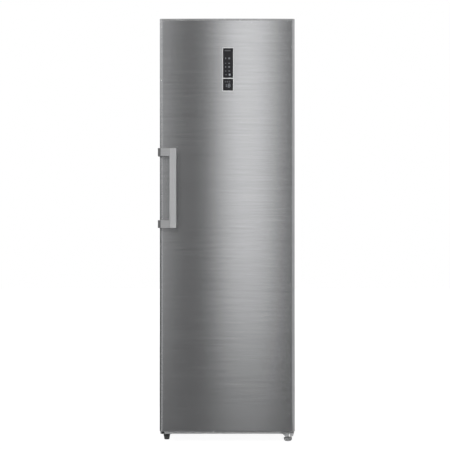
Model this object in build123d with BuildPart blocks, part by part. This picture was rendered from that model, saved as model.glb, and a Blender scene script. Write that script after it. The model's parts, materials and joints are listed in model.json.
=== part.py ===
from build123d import *
import os
from math import atan, cos, degrees, pi, radians, sin

os.makedirs("parts", exist_ok=True)

# An upright freezer with one full-height door.
# Origin on the floor under the middle of the appliance. +Z is up, the door faces -Y,
# the handle is on the -X side and the door hinges on the +X side.

# ---------------------------------------------------------------- overall sizes
width = 597.0  # cabinet and door, side to side
total_height = 1870.0  # floor to the top of the door
body_depth = 650.0  # crown of the door to the back panel
handle_reach = 38.0  # crown of the door to the front of the handle
ground_clearance = 28.0  # floor to the underside of the cabinet
cabinet_drop = 18.0  # the cabinet's top lies this far below the door's top

# ---------------------------------------------------------------- door sizes
door_bottom = 48.0  # floor to the underside of the door
door_thickness = 60.0  # at its sides
door_bow = 6.0  # crown of the bowed front ahead of its sides
door_edge_radius = 13.0
door_gap = 12.0  # back of the door to the front of the cabinet, filled by the gasket
door_sheet = 0.8
door_lip = 12.0  # the skin's return at the back of the door
top_cap_height = 9.0
bottom_cap_height = 5.0
door_liner_wall = 1.5
panel_rise = 10.0  # raised middle of the door liner
panel_inset = 72.5  # side of the door to the raised middle
panel_corner = 14.0
panel_slope = 20.0  # degrees, of the raised middle's sides
gasket_width = 22.0
gasket_inset = 25.5  # side of the door to the outer edge of the gasket
gasket_dart_width = 4.0
gasket_dart_depth = 7.0
soft_gap = 0.3  # soft or sliding pieces stay this far off their seats

# ---------------------------------------------------------------- hinge sizes
hinge_inset = 25.5  # side of the door to the hinge axis
hinge_setback = 30.0  # side plane of the door's front to the hinge axis
hinge_pin = 10.0  # diameter
hinge_plate = 3.0
running_gap = 0.05  # radial clearance of a pin in its bush
bush_outer = 16.0
bush_depth = 20.0
bush_flange = 20.0
bush_sides = 24  # the bushes are faceted outside, so they don't turn in the caps
pocket_reach = 40.0  # hinge axis to the side wall of the pocket in the door's top
pocket_front = 16.0  # hinge axis to the front wall of that pocket
pocket_depth = 21.0
pocket_wall = 3.0

# ---------------------------------------------------------------- cabinet sizes
sheet = 1.0
side_wall = 61.5  # outside of the cabinet to the inside of the liner
ceiling_wall = 62.0
floor_wall = 64.0
rear_wall = 74.0
flange = 53.0  # steel front flange that the gasket seals on
low_flange = 8.0  # what is left of it beside the bottom rail
rail_top = 92.0
liner_wall = 1.5
throat_radius = 15.0
bay_depth = 184.0  # compressor bay, from the back
bay_height = 222.0
bay_slope = 25.0
hump_wall = 60.0  # foam and liner over the bay
hump_slope = 20.0
base_plate = 2.0

# ---------------------------------------------------------------- storage sizes
drawer_count = 5
flap_count = 2
shelf_glass = 4.0
shelf_ledge = 8.0
shelf_ledge_width = 10.0
shelf_side_gap = 1.5
drawer_side_gap = 14.0  # liner to the side of a drawer
drawer_setback = 22.0  # cabinet front to the face of a drawer
drawer_top_gap = 6.0
drawer_wall = 2.0
drawer_taper = 5.0
drawer_rear_gap = 8.0
drawer_corner = 9.0
trim_depth = 14.0
trim_drop = 2.5
flap_pin = 6.0
flap_wall = 3.0
flap_barrel = 10.0

# ---------------------------------------------------------------- handle and display
handle_length = 350.0
handle_low = 947.0  # floor to the lower end of the handle
handle_bar_width = 30.0
handle_bar_thickness = 11.0
handle_bar_rounding = 1.6
handle_bend_outer = 12.0
handle_bend_inner = 6.0
handle_bar_inset = 45.2  # side of the door to the bar
handle_arm_height = 34.0
handle_arm_thickness = 8.0
handle_foot_thickness = 6.0  # arm where it lies on the side of the door
handle_foot_reach = 38.0  # side plane of the door's front to the end of the arm
handle_screw = 4.5
display_drop = 130.5  # top of the door to the top of the display
display_height = 187.4
display_width = 44.8
display_offset = 3.5  # the panel sits this far right of the middle
display_lower_glass = 52.4
display_bridge = 4.0
display_rim = 2.3
display_proud = 0.8

# ---------------------------------------------------------------- derived places
half = width / 2
back = (body_depth + handle_reach) / 2
crown = back - body_depth
door_front = crown + door_bow
door_back = door_front + door_thickness
cabinet_front = door_back + door_gap
handle_front = crown - handle_reach
cabinet_top = total_height - cabinet_drop
hinge_x = half - hinge_inset
hinge_y = door_front + hinge_setback

inner_half = half - side_wall
liner_top = cabinet_top - ceiling_wall
liner_floor = ground_clearance + floor_wall
liner_back = back - rear_wall
foam_front = cabinet_front + sheet + liner_wall
foam_bottom = ground_clearance + base_plate
bay_front = back - bay_depth
bay_top = ground_clearance + bay_height
hump_front = bay_front - hump_wall
hump_top = bay_top + hump_wall
far = 2 * total_height  # longer than any cut needs to be


def save(piece, name):
    piece.part.label = name
    export_step(piece.part, f"parts/{name}.step")


# ================================================================ cabinet
def side_panel(side):
    """Folded steel side with its front flange, narrower beside the bottom rail."""
    with BuildPart() as panel:
        with BuildSketch(Plane.XY.offset(ground_clearance)) as plan:
            with BuildLine():
                Polyline(
                    (side * half, cabinet_front),
                    (side * half, back),
                    (side * (half - sheet), back),
                    (side * (half - sheet), cabinet_front + sheet),
                    (side * (half - flange), cabinet_front + sheet),
                    (side * (half - flange), cabinet_front),
                    close=True,
                )
            make_face()
            corner = plan.vertices().sort_by(Axis.Y).group_by(Axis.Y)[0]
            fillet(corner.sort_by(Axis.X)[-1 if side > 0 else 0], radius=3 * sheet)
        extrude(amount=cabinet_top - sheet - ground_clearance)
        with Locations((side * (half - low_flange), cabinet_front, ground_clearance)):
            Box(
                flange,
                4 * sheet,
                rail_top - ground_clearance,
                align=(Align.MAX if side > 0 else Align.MIN, Align.CENTER, Align.MIN),
                mode=Mode.SUBTRACT,
            )
    return panel


for panel_side, panel_name in ((-1, "side_panel_left"), (1, "side_panel_right")):
    save(side_panel(panel_side), panel_name)

# Screws of the two hinges: (x, y) on the cabinet's top and (x, z) on the bottom rail.
top_screw_spots = [
    (hinge_x - 55, cabinet_front + 22),
    (hinge_x - 55, cabinet_front + 62),
    (hinge_x - 24, cabinet_front + 62),
]
low_screw_z = ground_clearance + 6
low_screw_spots = [(hinge_x + x, low_screw_z) for x in (-26, -4, 9)]
screw_shank = 5.8
screw_head = 10.0  # across the corners
screw_head_height = 3.0
screw_grip = 16.0
shank_sides = 12

# Plug in the rail's spare hole for a hinge on the left.
plug_x = -half + 12
plug_width = 13.0
plug_height = 8.0
plug_thickness = 3.0
plug_hole = 6.0

with BuildPart() as top_panel:
    with BuildSketch(Plane.XY.offset(cabinet_top - sheet)):
        with Locations((0, (cabinet_front + back) / 2)):
            Rectangle(width, back - cabinet_front)
        with Locations(top_screw_spots):
            Circle(screw_shank / 2, mode=Mode.SUBTRACT)
    extrude(amount=sheet)
    with Locations((0, cabinet_front, cabinet_top - sheet)):
        Box(
            width - 2 * flange,
            sheet,
            flange - sheet,
            align=(Align.CENTER, Align.MIN, Align.MAX),
        )
save(top_panel, "top_panel")

# Doubler welded to the rail over the left foot, with an open slot in it.
doubler_left = plug_x + plug_width / 2 + 1
doubler_width = 45.0
doubler_height = 18.0
doubler_sheet = 1.6
doubler_slot = 11.0
doubler_middle = doubler_left + doubler_width / 2
with BuildPart() as front_rail:
    with BuildSketch(Plane.XZ.offset(-cabinet_front)):
        with Locations((0, (ground_clearance + rail_top) / 2)):
            Rectangle(2 * (half - low_flange), rail_top - ground_clearance)
        with Locations(low_screw_spots):
            Circle(screw_shank / 2, mode=Mode.SUBTRACT)
        with Locations((plug_x, low_screw_z)):
            Circle(plug_hole / 2, mode=Mode.SUBTRACT)
    extrude(amount=-sheet)
    with BuildSketch(Plane.XZ.offset(-cabinet_front)):
        with Locations((doubler_middle, ground_clearance + doubler_height / 2)):
            Rectangle(doubler_width, doubler_height)
        with Locations((doubler_middle + doubler_slot, ground_clearance)):
            Rectangle(doubler_slot, doubler_height, mode=Mode.SUBTRACT)
    extrude(amount=doubler_sheet)
save(front_rail, "front_rail")

with BuildPart() as hinge_hole_plug:
    with BuildSketch(Plane.XZ.offset(-cabinet_front)) as plug_head:
        with Locations((plug_x, low_screw_z)):
            Rectangle(plug_width, plug_height)
        chamfer(plug_head.vertices(), length=plug_height / 4)
    extrude(amount=plug_thickness)
    with BuildSketch(Plane.XZ.offset(-cabinet_front)):
        with Locations((plug_x, low_screw_z)):
            Circle(plug_hole / 2)
    extrude(amount=-2 * sheet)
save(hinge_hole_plug, "hinge_hole_plug")

# Melt water drains through the back wall into the compressor bay.
drain_x = -120.0
drain_y = liner_back - 30
drain_outer = 16.0

# One sheet closes the back and folds forward over the compressor bay.
with BuildPart() as back_panel:
    with BuildSketch(Plane.YZ.offset(-half + sheet)):
        with BuildLine():
            Polyline(
                (bay_front, foam_bottom),
                (bay_front, bay_top - bay_slope),
                (bay_front + bay_slope, bay_top),
                (back - sheet, bay_top),
                (back - sheet, cabinet_top - sheet),
                (back, cabinet_top - sheet),
                (back, bay_top - sheet),
                (bay_front + bay_slope + 0.4 * sheet, bay_top - sheet),
                (bay_front + sheet, bay_top - bay_slope - 0.4 * sheet),
                (bay_front + sheet, foam_bottom),
                close=True,
            )
        make_face()
    extrude(amount=width - 2 * sheet)
    with Locations((drain_x, drain_y, bay_top)):
        Cylinder(drain_outer / 2, 6 * sheet, mode=Mode.SUBTRACT)
save(back_panel, "back_panel")


def cavity(grow):
    """Storage space of the liner, made larger by grow on every side but the front."""
    with BuildPart() as space:
        with BuildSketch(Plane.XZ.offset(-cabinet_front)):
            with Locations((0, (liner_floor + liner_top) / 2)):
                RectangleRounded(
                    2 * (inner_half + grow),
                    liner_top - liner_floor + 2 * grow,
                    throat_radius + grow,
                )
        extrude(amount=-(liner_back + grow - cabinet_front))
        with BuildSketch(Plane.YZ.offset(-half)):
            with BuildLine():
                Polyline(
                    (hump_front + grow, 0),
                    (hump_front + grow, hump_top - hump_slope - 0.4 * grow),
                    (hump_front + hump_slope + 0.4 * grow, hump_top - grow),
                    (back, hump_top - grow),
                    (back, 0),
                    close=True,
                )
            make_face()
        extrude(amount=width, mode=Mode.SUBTRACT)
    return space.part


storage_space = cavity(0)
liner_form = cavity(liner_wall)

# Shelves: the lowest lies on the hump, the others share the height above it evenly.
shelf_count = drawer_count + flap_count - 1
shelf_pitch = (liner_top - hump_top - shelf_glass) / shelf_count
shelf_bottoms = [hump_top + i * shelf_pitch for i in range(shelf_count)]
shelf_front = cabinet_front + drawer_setback + flap_wall + 6
shelf_back = liner_back - 70
ledge_front = shelf_front + trim_depth
flap_ceilings = [*shelf_bottoms[drawer_count:], liner_top]
flap_axis_y = cabinet_front + drawer_setback + 6
flap_boss = 14.0
flap_axis_drop = throat_radius + flap_boss / 2  # keeps the bosses clear of the liner's corners

with BuildPart() as inner_liner:
    with BuildSketch(Plane.XZ.offset(-(cabinet_front + sheet))):
        with Locations((0, (rail_top - 32 + cabinet_top - sheet) / 2)):
            Rectangle(2 * (half - sheet), cabinet_top - sheet - rail_top + 32)
    extrude(amount=-liner_wall)
    add(liner_form)
    with Locations((0, cabinet_front, 0)):
        Box(width, sheet, far, align=(Align.CENTER, Align.MIN, Align.CENTER), mode=Mode.SUBTRACT)
    add(storage_space, mode=Mode.SUBTRACT)
    for ledge_top in shelf_bottoms:
        ledge_back = hump_front if ledge_top == hump_top else shelf_back
        for ledge_side in (-1, 1):
            with BuildSketch(Plane.XZ.offset(-ledge_front)):
                with BuildLine():
                    Polyline(
                        (ledge_side * (inner_half + liner_wall / 2), ledge_top),
                        (ledge_side * (inner_half - shelf_ledge_width), ledge_top),
                        (ledge_side * (inner_half - shelf_ledge_width), ledge_top - shelf_ledge / 2),
                        (ledge_side * (inner_half + liner_wall / 2), ledge_top - 2 * shelf_ledge),
                        close=True,
                    )
                make_face()
            extrude(amount=-(ledge_back - ledge_front))
    for flap_ceiling in flap_ceilings:
        for boss_side in (-1, 1):
            boss_plane = Plane(
                origin=(
                    boss_side * (inner_half + liner_wall / 2),
                    flap_axis_y,
                    flap_ceiling - flap_axis_drop,
                ),
                z_dir=(-boss_side, 0, 0),
            )
            with BuildSketch(boss_plane):
                Circle(flap_boss / 2)
            extrude(amount=shelf_ledge_width + liner_wall / 2)
            with BuildSketch(boss_plane.offset(liner_wall)):
                Circle(flap_pin / 2 + running_gap)
            extrude(amount=shelf_ledge_width, mode=Mode.SUBTRACT)
    with Locations((drain_x, drain_y, hump_top)):
        Cylinder(drain_outer / 2, 8 * liner_wall, mode=Mode.SUBTRACT)
save(inner_liner, "inner_liner")

# Levelling foot at the front left turns in a threaded boss of the base.
left_foot_x = -half + 28
left_foot_y = crown + 108
left_foot_stud = 10.0
left_foot_radius = 14.4
foot_sides = 16
foot_boss = 17.0
foot_boss_height = 16.0
foot_boss_roof = 10.0  # free height over the boss
left_foot_gap = 4.0  # underside of the cabinet to the top of the foot
foot_chamfer = 3.0  # the foot narrows by this much over the height foot_taper
foot_taper = 16.0

with BuildPart() as cabinet_foam:
    with BuildSketch(Plane.YZ.offset(-half + sheet)):
        with BuildLine():
            Polyline(
                (foam_front, foam_bottom),
                (bay_front, foam_bottom),
                (bay_front, bay_top - bay_slope),
                (bay_front + bay_slope, bay_top),
                (back - sheet, bay_top),
                (back - sheet, cabinet_top - sheet),
                (foam_front, cabinet_top - sheet),
                close=True,
            )
        make_face()
    extrude(amount=width - 2 * sheet)
    add(liner_form, mode=Mode.SUBTRACT)
    with Locations((drain_x, drain_y, bay_top)):
        Cylinder(drain_outer / 2, 3 * hump_wall, mode=Mode.SUBTRACT)
    with Locations((left_foot_x, left_foot_y, foam_bottom)):
        Cylinder(
            foot_boss / 2,
            foot_boss_height + foot_boss_roof,
            align=(Align.CENTER, Align.CENTER, Align.MIN),
            mode=Mode.SUBTRACT,
        )
    with Locations([(x, y, cabinet_top) for x, y in top_screw_spots]):
        Cylinder(screw_shank / 2, 2 * screw_grip, mode=Mode.SUBTRACT)
    with Locations([(x, cabinet_front, z) for x, z in low_screw_spots]):
        Cylinder(screw_shank / 2, 2 * screw_grip, rotation=(90, 0, 0), mode=Mode.SUBTRACT)

# The foam is made in three blocks that butt together: the floor with its hump, the walls, the ceiling.
floor_joint = hump_top - liner_wall
ceiling_joint = liner_top - throat_radius


def foam_block(low, high):
    """Slice of the cabinet's foam between two heights."""
    with BuildPart() as block:
        add(cabinet_foam.part)
        split(bisect_by=Plane.XY.offset(low), keep=Keep.TOP)
        split(bisect_by=Plane.XY.offset(high), keep=Keep.BOTTOM)
    return block


floor_insulation = foam_block(foam_bottom - sheet, floor_joint)
save(floor_insulation, "floor_insulation")
cabinet_insulation = foam_block(floor_joint, ceiling_joint)
save(cabinet_insulation, "cabinet_insulation")
ceiling_insulation = foam_block(ceiling_joint, cabinet_top)
save(ceiling_insulation, "ceiling_insulation")

# Rear rollers sit in slots of the base, on axles between turned-down cheeks.
roller_radius = 20.0
roller_width = 20.0
roller_axle = 8.0
roller_x = half - 45
roller_y = back - 46
cheek = 2.0
axle_head = 3.0
cheek_gap = 2.0
cheek_root = 22.0  # half of its length along the base
cheek_tip = 9.0  # half of its length at the axle, and its reach past the axle
cheek_half = roller_width / 2 + cheek_gap

base_slot_width = 10.0
base_slot_length = 90.0
base_slot_pitch = 28.0
with BuildPart() as base_frame:
    with BuildSketch(Plane.XY.offset(ground_clearance)):
        with Locations((0, (cabinet_front + sheet + back - sheet) / 2)):
            Rectangle(2 * (half - sheet), back - cabinet_front - 2 * sheet)
        with Locations((-roller_x, roller_y), (roller_x, roller_y)):
            Rectangle(roller_width + 2 * cheek_gap, 2 * roller_radius + 8, mode=Mode.SUBTRACT)
        with Locations((-base_slot_width, back - 70)):
            with GridLocations(base_slot_pitch, 1, 4, 1):
                Rectangle(base_slot_width, base_slot_length, mode=Mode.SUBTRACT)
    extrude(amount=base_plate)
    for slot_x in (-roller_x, roller_x):
        for cheek_side in (-1, 1):
            with BuildSketch(Plane.YZ.offset(slot_x + cheek_side * cheek_half)):
                with BuildLine():
                    Polyline(
                        (roller_y - cheek_root, ground_clearance + base_plate),
                        (roller_y + cheek_root, ground_clearance + base_plate),
                        (roller_y + cheek_tip, roller_radius - cheek_tip),
                        (roller_y - cheek_tip, roller_radius - cheek_tip),
                        close=True,
                    )
                make_face()
                with Locations((roller_y, roller_radius)):
                    Circle(roller_axle / 2, mode=Mode.SUBTRACT)
            extrude(amount=cheek_side * cheek)
    with Locations((left_foot_x, left_foot_y, ground_clearance)):
        Box(44, 48, 2.5, align=(Align.CENTER, Align.CENTER, Align.MAX))
        Cylinder(
            foot_boss / 2,
            base_plate + foot_boss_height,
            align=(Align.CENTER, Align.CENTER, Align.MIN),
        )
        Cylinder(left_foot_stud / 2 + running_gap, far / 20, mode=Mode.SUBTRACT)
save(base_frame, "base_frame")

with BuildPart() as roller_axles:
    for axle_x in (-roller_x, roller_x):
        with Locations((axle_x, roller_y, roller_radius)):
            Cylinder(roller_axle / 2, 2 * (cheek_half + cheek + axle_head), rotation=(0, 90, 0))
        for head_side in (-1, 1):
            with BuildSketch(Plane.YZ.offset(axle_x + head_side * (cheek_half + cheek))):
                with Locations((roller_y, roller_radius)):
                    RegularPolygon(roller_axle / 2 + 2, 6)
            extrude(amount=head_side * axle_head)
save(roller_axles, "roller_axles")

for roller_side, roller_name in ((-1, "roller_left"), (1, "roller_right")):
    with BuildPart() as roller:
        with BuildSketch(Plane.YZ.offset(roller_side * roller_x - roller_width / 2)):
            with Locations((roller_y, roller_radius)):
                Circle(roller_radius)
                Circle(roller_axle / 2 + running_gap, mode=Mode.SUBTRACT)
        extrude(amount=roller_width)
    save(roller, roller_name)

with BuildPart() as foot_left:
    with BuildSketch(Plane.XY.offset(ground_clearance - left_foot_gap)):
        with Locations((left_foot_x, left_foot_y)):
            RegularPolygon(left_foot_radius, foot_sides, rotation=180 / foot_sides)
    extrude(amount=-(ground_clearance - left_foot_gap))
    sole = foot_left.faces().sort_by(Axis.Z)[0]
    chamfer(sole.edges(), length=foot_chamfer, length2=foot_taper, reference=sole)
    with Locations((left_foot_x, left_foot_y, ground_clearance - left_foot_gap)):
        Cylinder(
            left_foot_stud / 2,
            foam_bottom + foot_boss_height + foot_boss_roof / 2 - ground_clearance + left_foot_gap,
            align=(Align.CENTER, Align.CENTER, Align.MIN),
        )
save(foot_left, "foot_left")

# ================================================================ bottom hinge
low_plate_z = door_bottom - 8
right_foot_x = hinge_x - 3
right_foot_y = crown + 60
right_foot_stud = 8.0
right_foot_radius = 18.0
right_foot_height = 16.0
foot_ribs = 18
rib_depth = 1.8
foot_tread = 6.0
low_bracket_left = hinge_x - 34
low_bracket_right = hinge_x + 20
low_flange_right = hinge_x + 24
low_flange_bottom = ground_clearance + 0.5
low_flange_top = door_bottom - 2
low_plate_front = hinge_y - 14
bracket_corner = 4.0
lip_left = hinge_x - 17  # turned-down lip at the front of the plate
lip_right = hinge_x - 4
lip_drop = 13.0
stay_top = hinge_x - 35  # slanting stay from the rail down to the foot
stay_foot = hinge_x - 14
stay_width = 9.0
stay_front = low_plate_front + 12
foot_gap = 5.0  # open height between the bracket and the foot
inner_web = hinge_x - 16  # the two webs under the plate
web_top = low_plate_z + 1
web_front = hinge_y - 10
web_foot = right_foot_height + 7
cheek_back = hinge_y - 9  # the cheek in front of the foot's stud
cheek_left = hinge_x + 3
cheek_toe = hinge_x + 11
cheek_shoulder = low_plate_z - 10

with BuildPart() as bottom_hinge_bracket:
    with BuildSketch(Plane.XY.offset(low_plate_z)) as low_plate:
        with BuildLine():
            Polyline(
                (low_bracket_left, cabinet_front),
                (low_bracket_left + 4, cabinet_front - 20),
                (lip_left - bracket_corner, low_plate_front),
                (low_bracket_right, low_plate_front),
                (low_bracket_right, cabinet_front),
                close=True,
            )
        make_face()
        chamfer(low_plate.vertices().group_by(Axis.Y)[0], length=bracket_corner)
        with Locations((hinge_x, hinge_y)):
            Circle(hinge_pin / 2, mode=Mode.SUBTRACT)
        with Locations((right_foot_x, right_foot_y)):
            Circle(right_foot_stud / 2 + running_gap, mode=Mode.SUBTRACT)
    extrude(amount=hinge_plate)
    with BuildSketch(Plane.XZ.offset(-cabinet_front)) as low_flange_face:
        with Locations(((low_bracket_left + low_flange_right) / 2, (low_flange_bottom + low_flange_top) / 2)):
            Rectangle(low_flange_right - low_bracket_left, low_flange_top - low_flange_bottom)
        chamfer(low_flange_face.vertices(), length=bracket_corner / 2)
        with Locations(low_screw_spots):
            Circle(screw_shank / 2, mode=Mode.SUBTRACT)
    extrude(amount=hinge_plate)
    with BuildSketch(Plane.XZ.offset(-low_plate_front)):
        with BuildLine():
            Polyline(
                (lip_left, low_plate_z),
                (lip_right, low_plate_z),
                (lip_right, low_plate_z - lip_drop),
                (lip_left + bracket_corner, low_plate_z - lip_drop),
                close=True,
            )
        make_face()
    extrude(amount=-hinge_plate)
    with BuildSketch(Plane.XZ.offset(-stay_front)):
        with BuildLine():
            Polyline(
                (stay_top, low_plate_z),
                (stay_top + stay_width + bracket_corner, low_plate_z),
                (stay_foot + stay_width, right_foot_height + foot_gap),
                (stay_foot, right_foot_height + foot_gap),
                close=True,
            )
        make_face()
    extrude(amount=-hinge_plate)
    for web_x in (low_bracket_right - hinge_plate, inner_web):
        with BuildSketch(Plane.YZ.offset(web_x)):
            with BuildLine():
                Polyline(
                    (cabinet_front - hinge_plate, web_top),
                    (web_front, web_top),
                    (web_front, low_plate_z - bracket_corner),
                    (cabinet_front - hinge_plate, web_foot),
                    close=True,
                )
            make_face()
        extrude(amount=hinge_plate)
    with BuildSketch(Plane.XZ.offset(-cheek_back)):
        with BuildLine():
            Polyline(
                (cheek_left, web_top),
                (low_bracket_right, web_top),
                (low_bracket_right, cheek_shoulder),
                (cheek_toe, right_foot_height + foot_gap),
                (cheek_left, right_foot_height + foot_gap),
                close=True,
            )
        make_face()
    extrude(amount=hinge_plate)
save(bottom_hinge_bracket, "bottom_hinge_bracket")

pin_collar = 8.0
pin_collar_top = door_bottom - 2
with BuildPart() as bottom_hinge_pin:
    with BuildSketch(Plane.XY.offset(low_plate_z)):
        with Locations((hinge_x, hinge_y)):
            Circle(hinge_pin / 2)
    extrude(amount=door_bottom + bush_depth - 2 - low_plate_z)
    with BuildSketch(Plane.XY.offset(low_plate_z + hinge_plate)):
        with Locations((hinge_x, hinge_y)):
            RegularPolygon(pin_collar, 6)
    extrude(amount=pin_collar_top - low_plate_z - hinge_plate)
save(bottom_hinge_pin, "bottom_hinge_pin")

with BuildPart() as foot_right:
    with BuildSketch(Plane.XY.offset(foot_tread)):
        with BuildLine():
            Polyline(
                [
                    (
                        right_foot_x + (right_foot_radius - rib_depth * (i % 2)) * cos(pi * i / foot_ribs),
                        right_foot_y + (right_foot_radius - rib_depth * (i % 2)) * sin(pi * i / foot_ribs),
                    )
                    for i in range(2 * foot_ribs)
                ],
                close=True,
            )
        make_face()
    extrude(amount=right_foot_height - foot_tread)
    with BuildSketch(Plane.XY.offset(foot_tread)):
        with Locations((right_foot_x, right_foot_y)):
            RegularPolygon(right_foot_radius - rib_depth, foot_sides)
    extrude(amount=-foot_tread)
    chamfer(foot_right.faces().sort_by(Axis.Z)[0].edges(), length=foot_tread / 2)
    with Locations((right_foot_x, right_foot_y, right_foot_height)):
        Cylinder(
            right_foot_stud / 2,
            low_plate_z + hinge_plate + 3 - right_foot_height,
            align=(Align.CENTER, Align.CENTER, Align.MIN),
        )
save(foot_right, "foot_right")

# ================================================================ top hinge
top_arm_radius = 11.0
cover_wall = 1.6
top_cover_height = total_height - 2 - cabinet_top
top_pin_bottom = total_height - pocket_depth - bush_depth + 2

top_pin_collar = 7.0
top_collar_height = 2.5
with BuildPart() as top_hinge_bracket:
    with BuildSketch(Plane.XY.offset(cabinet_top)):
        with BuildLine():
            Polyline(
                (hinge_x - 67, cabinet_front + 8),
                (hinge_x - 67, cabinet_front + 76),
                (hinge_x - 14, cabinet_front + 76),
                (hinge_x - 15, cabinet_front + 4),
                (hinge_x - 13, cabinet_front - 20),
                (hinge_x + 6, hinge_y + 9),
                (hinge_x - 8, hinge_y - 7),
                (hinge_x - 34, cabinet_front - 10),
                (hinge_x - 34, cabinet_front + 8),
                close=True,
            )
        make_face()
        with Locations((hinge_x, hinge_y)):
            Circle(top_arm_radius)
        with Locations(top_screw_spots):
            Circle(screw_shank / 2, mode=Mode.SUBTRACT)
    extrude(amount=hinge_plate)
    with Locations((hinge_x, hinge_y, cabinet_top + hinge_plate)):
        Cylinder(top_pin_collar, top_collar_height, align=(Align.CENTER, Align.CENTER, Align.MIN))
        Cylinder(
            hinge_pin / 2,
            cabinet_top + hinge_plate - top_pin_bottom,
            align=(Align.CENTER, Align.CENTER, Align.MAX),
        )
save(top_hinge_bracket, "top_hinge_bracket")

with BuildPart() as top_hinge_cover:
    for cover_inset, cover_mode in ((0, Mode.ADD), (cover_wall, Mode.SUBTRACT)):
        with BuildSketch(Plane.XY.offset(cabinet_top)):
            with BuildLine():
                Polyline(
                    (hinge_x - 71 + cover_inset, cabinet_front + 3 + cover_inset),
                    (hinge_x - 71 + cover_inset, cabinet_front + 82 - cover_inset),
                    (hinge_x - 9 - cover_inset, cabinet_front + 82 - cover_inset),
                    (hinge_x - 11 - cover_inset, cabinet_front + 3),
                    (hinge_x - 9 - cover_inset, cabinet_front - 20),
                    (hinge_x + 8 - cover_inset, hinge_y + 12 - cover_inset),
                    (hinge_x - 11 + cover_inset, hinge_y - 9 + cover_inset),
                    (hinge_x - 37 + cover_inset, cabinet_front - 13 + cover_inset),
                    (hinge_x - 37 + cover_inset, cabinet_front + 3 + cover_inset),
                    close=True,
                )
            make_face()
            with Locations((hinge_x, hinge_y)):
                Circle(top_arm_radius + 3 - cover_inset)
        extrude(amount=top_cover_height - cover_inset, mode=cover_mode)
save(top_hinge_cover, "top_hinge_cover")

with BuildPart() as hinge_screws:
    for x, y in top_screw_spots:
        with BuildSketch(Plane.XY.offset(cabinet_top + hinge_plate)):
            with Locations((x, y)):
                RegularPolygon(screw_shank / 2, shank_sides)
        extrude(amount=-(hinge_plate + screw_grip))
        with BuildSketch(Plane.XY.offset(cabinet_top + hinge_plate)):
            with Locations((x, y)):
                RegularPolygon(screw_head / 2, 6)
        extrude(amount=screw_head_height)
    for x, z in low_screw_spots:
        with BuildSketch(Plane.XZ.offset(-cabinet_front + hinge_plate)):
            with Locations((x, z)):
                RegularPolygon(screw_head / 2, 6)
        extrude(amount=screw_head_height)
        with BuildSketch(Plane.XZ.offset(-cabinet_front + hinge_plate)):
            with Locations((x, z)):
                RegularPolygon(screw_shank / 2, shank_sides)
        extrude(amount=-(hinge_plate + screw_grip))
save(hinge_screws, "hinge_screws")


# ================================================================ door
def door_outline(inset):
    """Plan of the door: straight sides, rounded front corners and a bowed front."""
    edge = half - inset
    with BuildSketch() as outline:
        with BuildLine():
            ThreePointArc((-edge, door_front + inset), (0, crown + inset), (edge, door_front + inset))
            Polyline(
                (edge, door_front + inset),
                (edge, door_back - inset),
                (-edge, door_back - inset),
                (-edge, door_front + inset),
            )
        make_face()
        fillet(outline.vertices().group_by(Axis.Y)[0], radius=door_edge_radius - inset)
    return outline.sketch


outer_outline = door_outline(0)
foam_outline = door_outline(door_sheet)
skin_bottom = door_bottom + bottom_cap_height
skin_top = total_height - top_cap_height
pocket_floor = total_height - pocket_depth
pocket_base = pocket_floor - pocket_wall - 1
pocket_left = hinge_x - pocket_reach
pocket_y = hinge_y - pocket_front
liner_plane = door_back - door_sheet  # back face of the door liner
boss_outer = 22.0

display_x = display_offset
display_high = total_height - display_drop
display_low = display_high - display_height
display_mid = (display_low + display_high) / 2
rim_width = display_width + 2 * display_rim
rim_height = display_high - display_low + 2 * display_rim
rim_back = crown + 10

handle_high = handle_low + handle_length
arm_mids = (handle_low + handle_arm_height / 2, handle_high - handle_arm_height / 2)
arm_screw_y = door_front + handle_foot_reach - 9
arm_screw_spread = 18.0
screw_sink = 3.5
head_recess = 0.5
handle_screw_length = 24.0
arm_screw_heights = [
    mid + shift for mid in arm_mids for shift in (-arm_screw_spread / 2, arm_screw_spread / 2)
]


def corner_box(sink):
    """Block at the top hinge corner of the door, for the hinge pocket and its walls."""
    return Pos(pocket_left - sink, pocket_y - sink, pocket_base) * Box(
        half - pocket_left + sink + 1,
        door_back - pocket_y + sink + 1,
        total_height - pocket_base + 1,
        align=(Align.MIN, Align.MIN, Align.MIN),
    )


hinge_corner = corner_box(pocket_wall)

with BuildPart() as door_skin:
    with BuildSketch(Plane.XY.offset(skin_bottom)):
        add(outer_outline)
        add(foam_outline, mode=Mode.SUBTRACT)
        with Locations((0, door_back)):
            Rectangle(width - 2 * door_lip, 4 * door_sheet, mode=Mode.SUBTRACT)
    extrude(amount=skin_top - skin_bottom)
    add(hinge_corner, mode=Mode.SUBTRACT)
    with BuildSketch(Plane.XZ.offset(-crown + 5)):
        with Locations((display_x, display_mid)):
            RectangleRounded(rim_width, rim_height, 3)
    extrude(amount=-20, mode=Mode.SUBTRACT)
    with Locations([(-half, arm_screw_y, z) for z in arm_screw_heights]):
        Cylinder(handle_screw / 2, 6, rotation=(0, 90, 0), mode=Mode.SUBTRACT)
save(door_skin, "door_skin")

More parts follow.
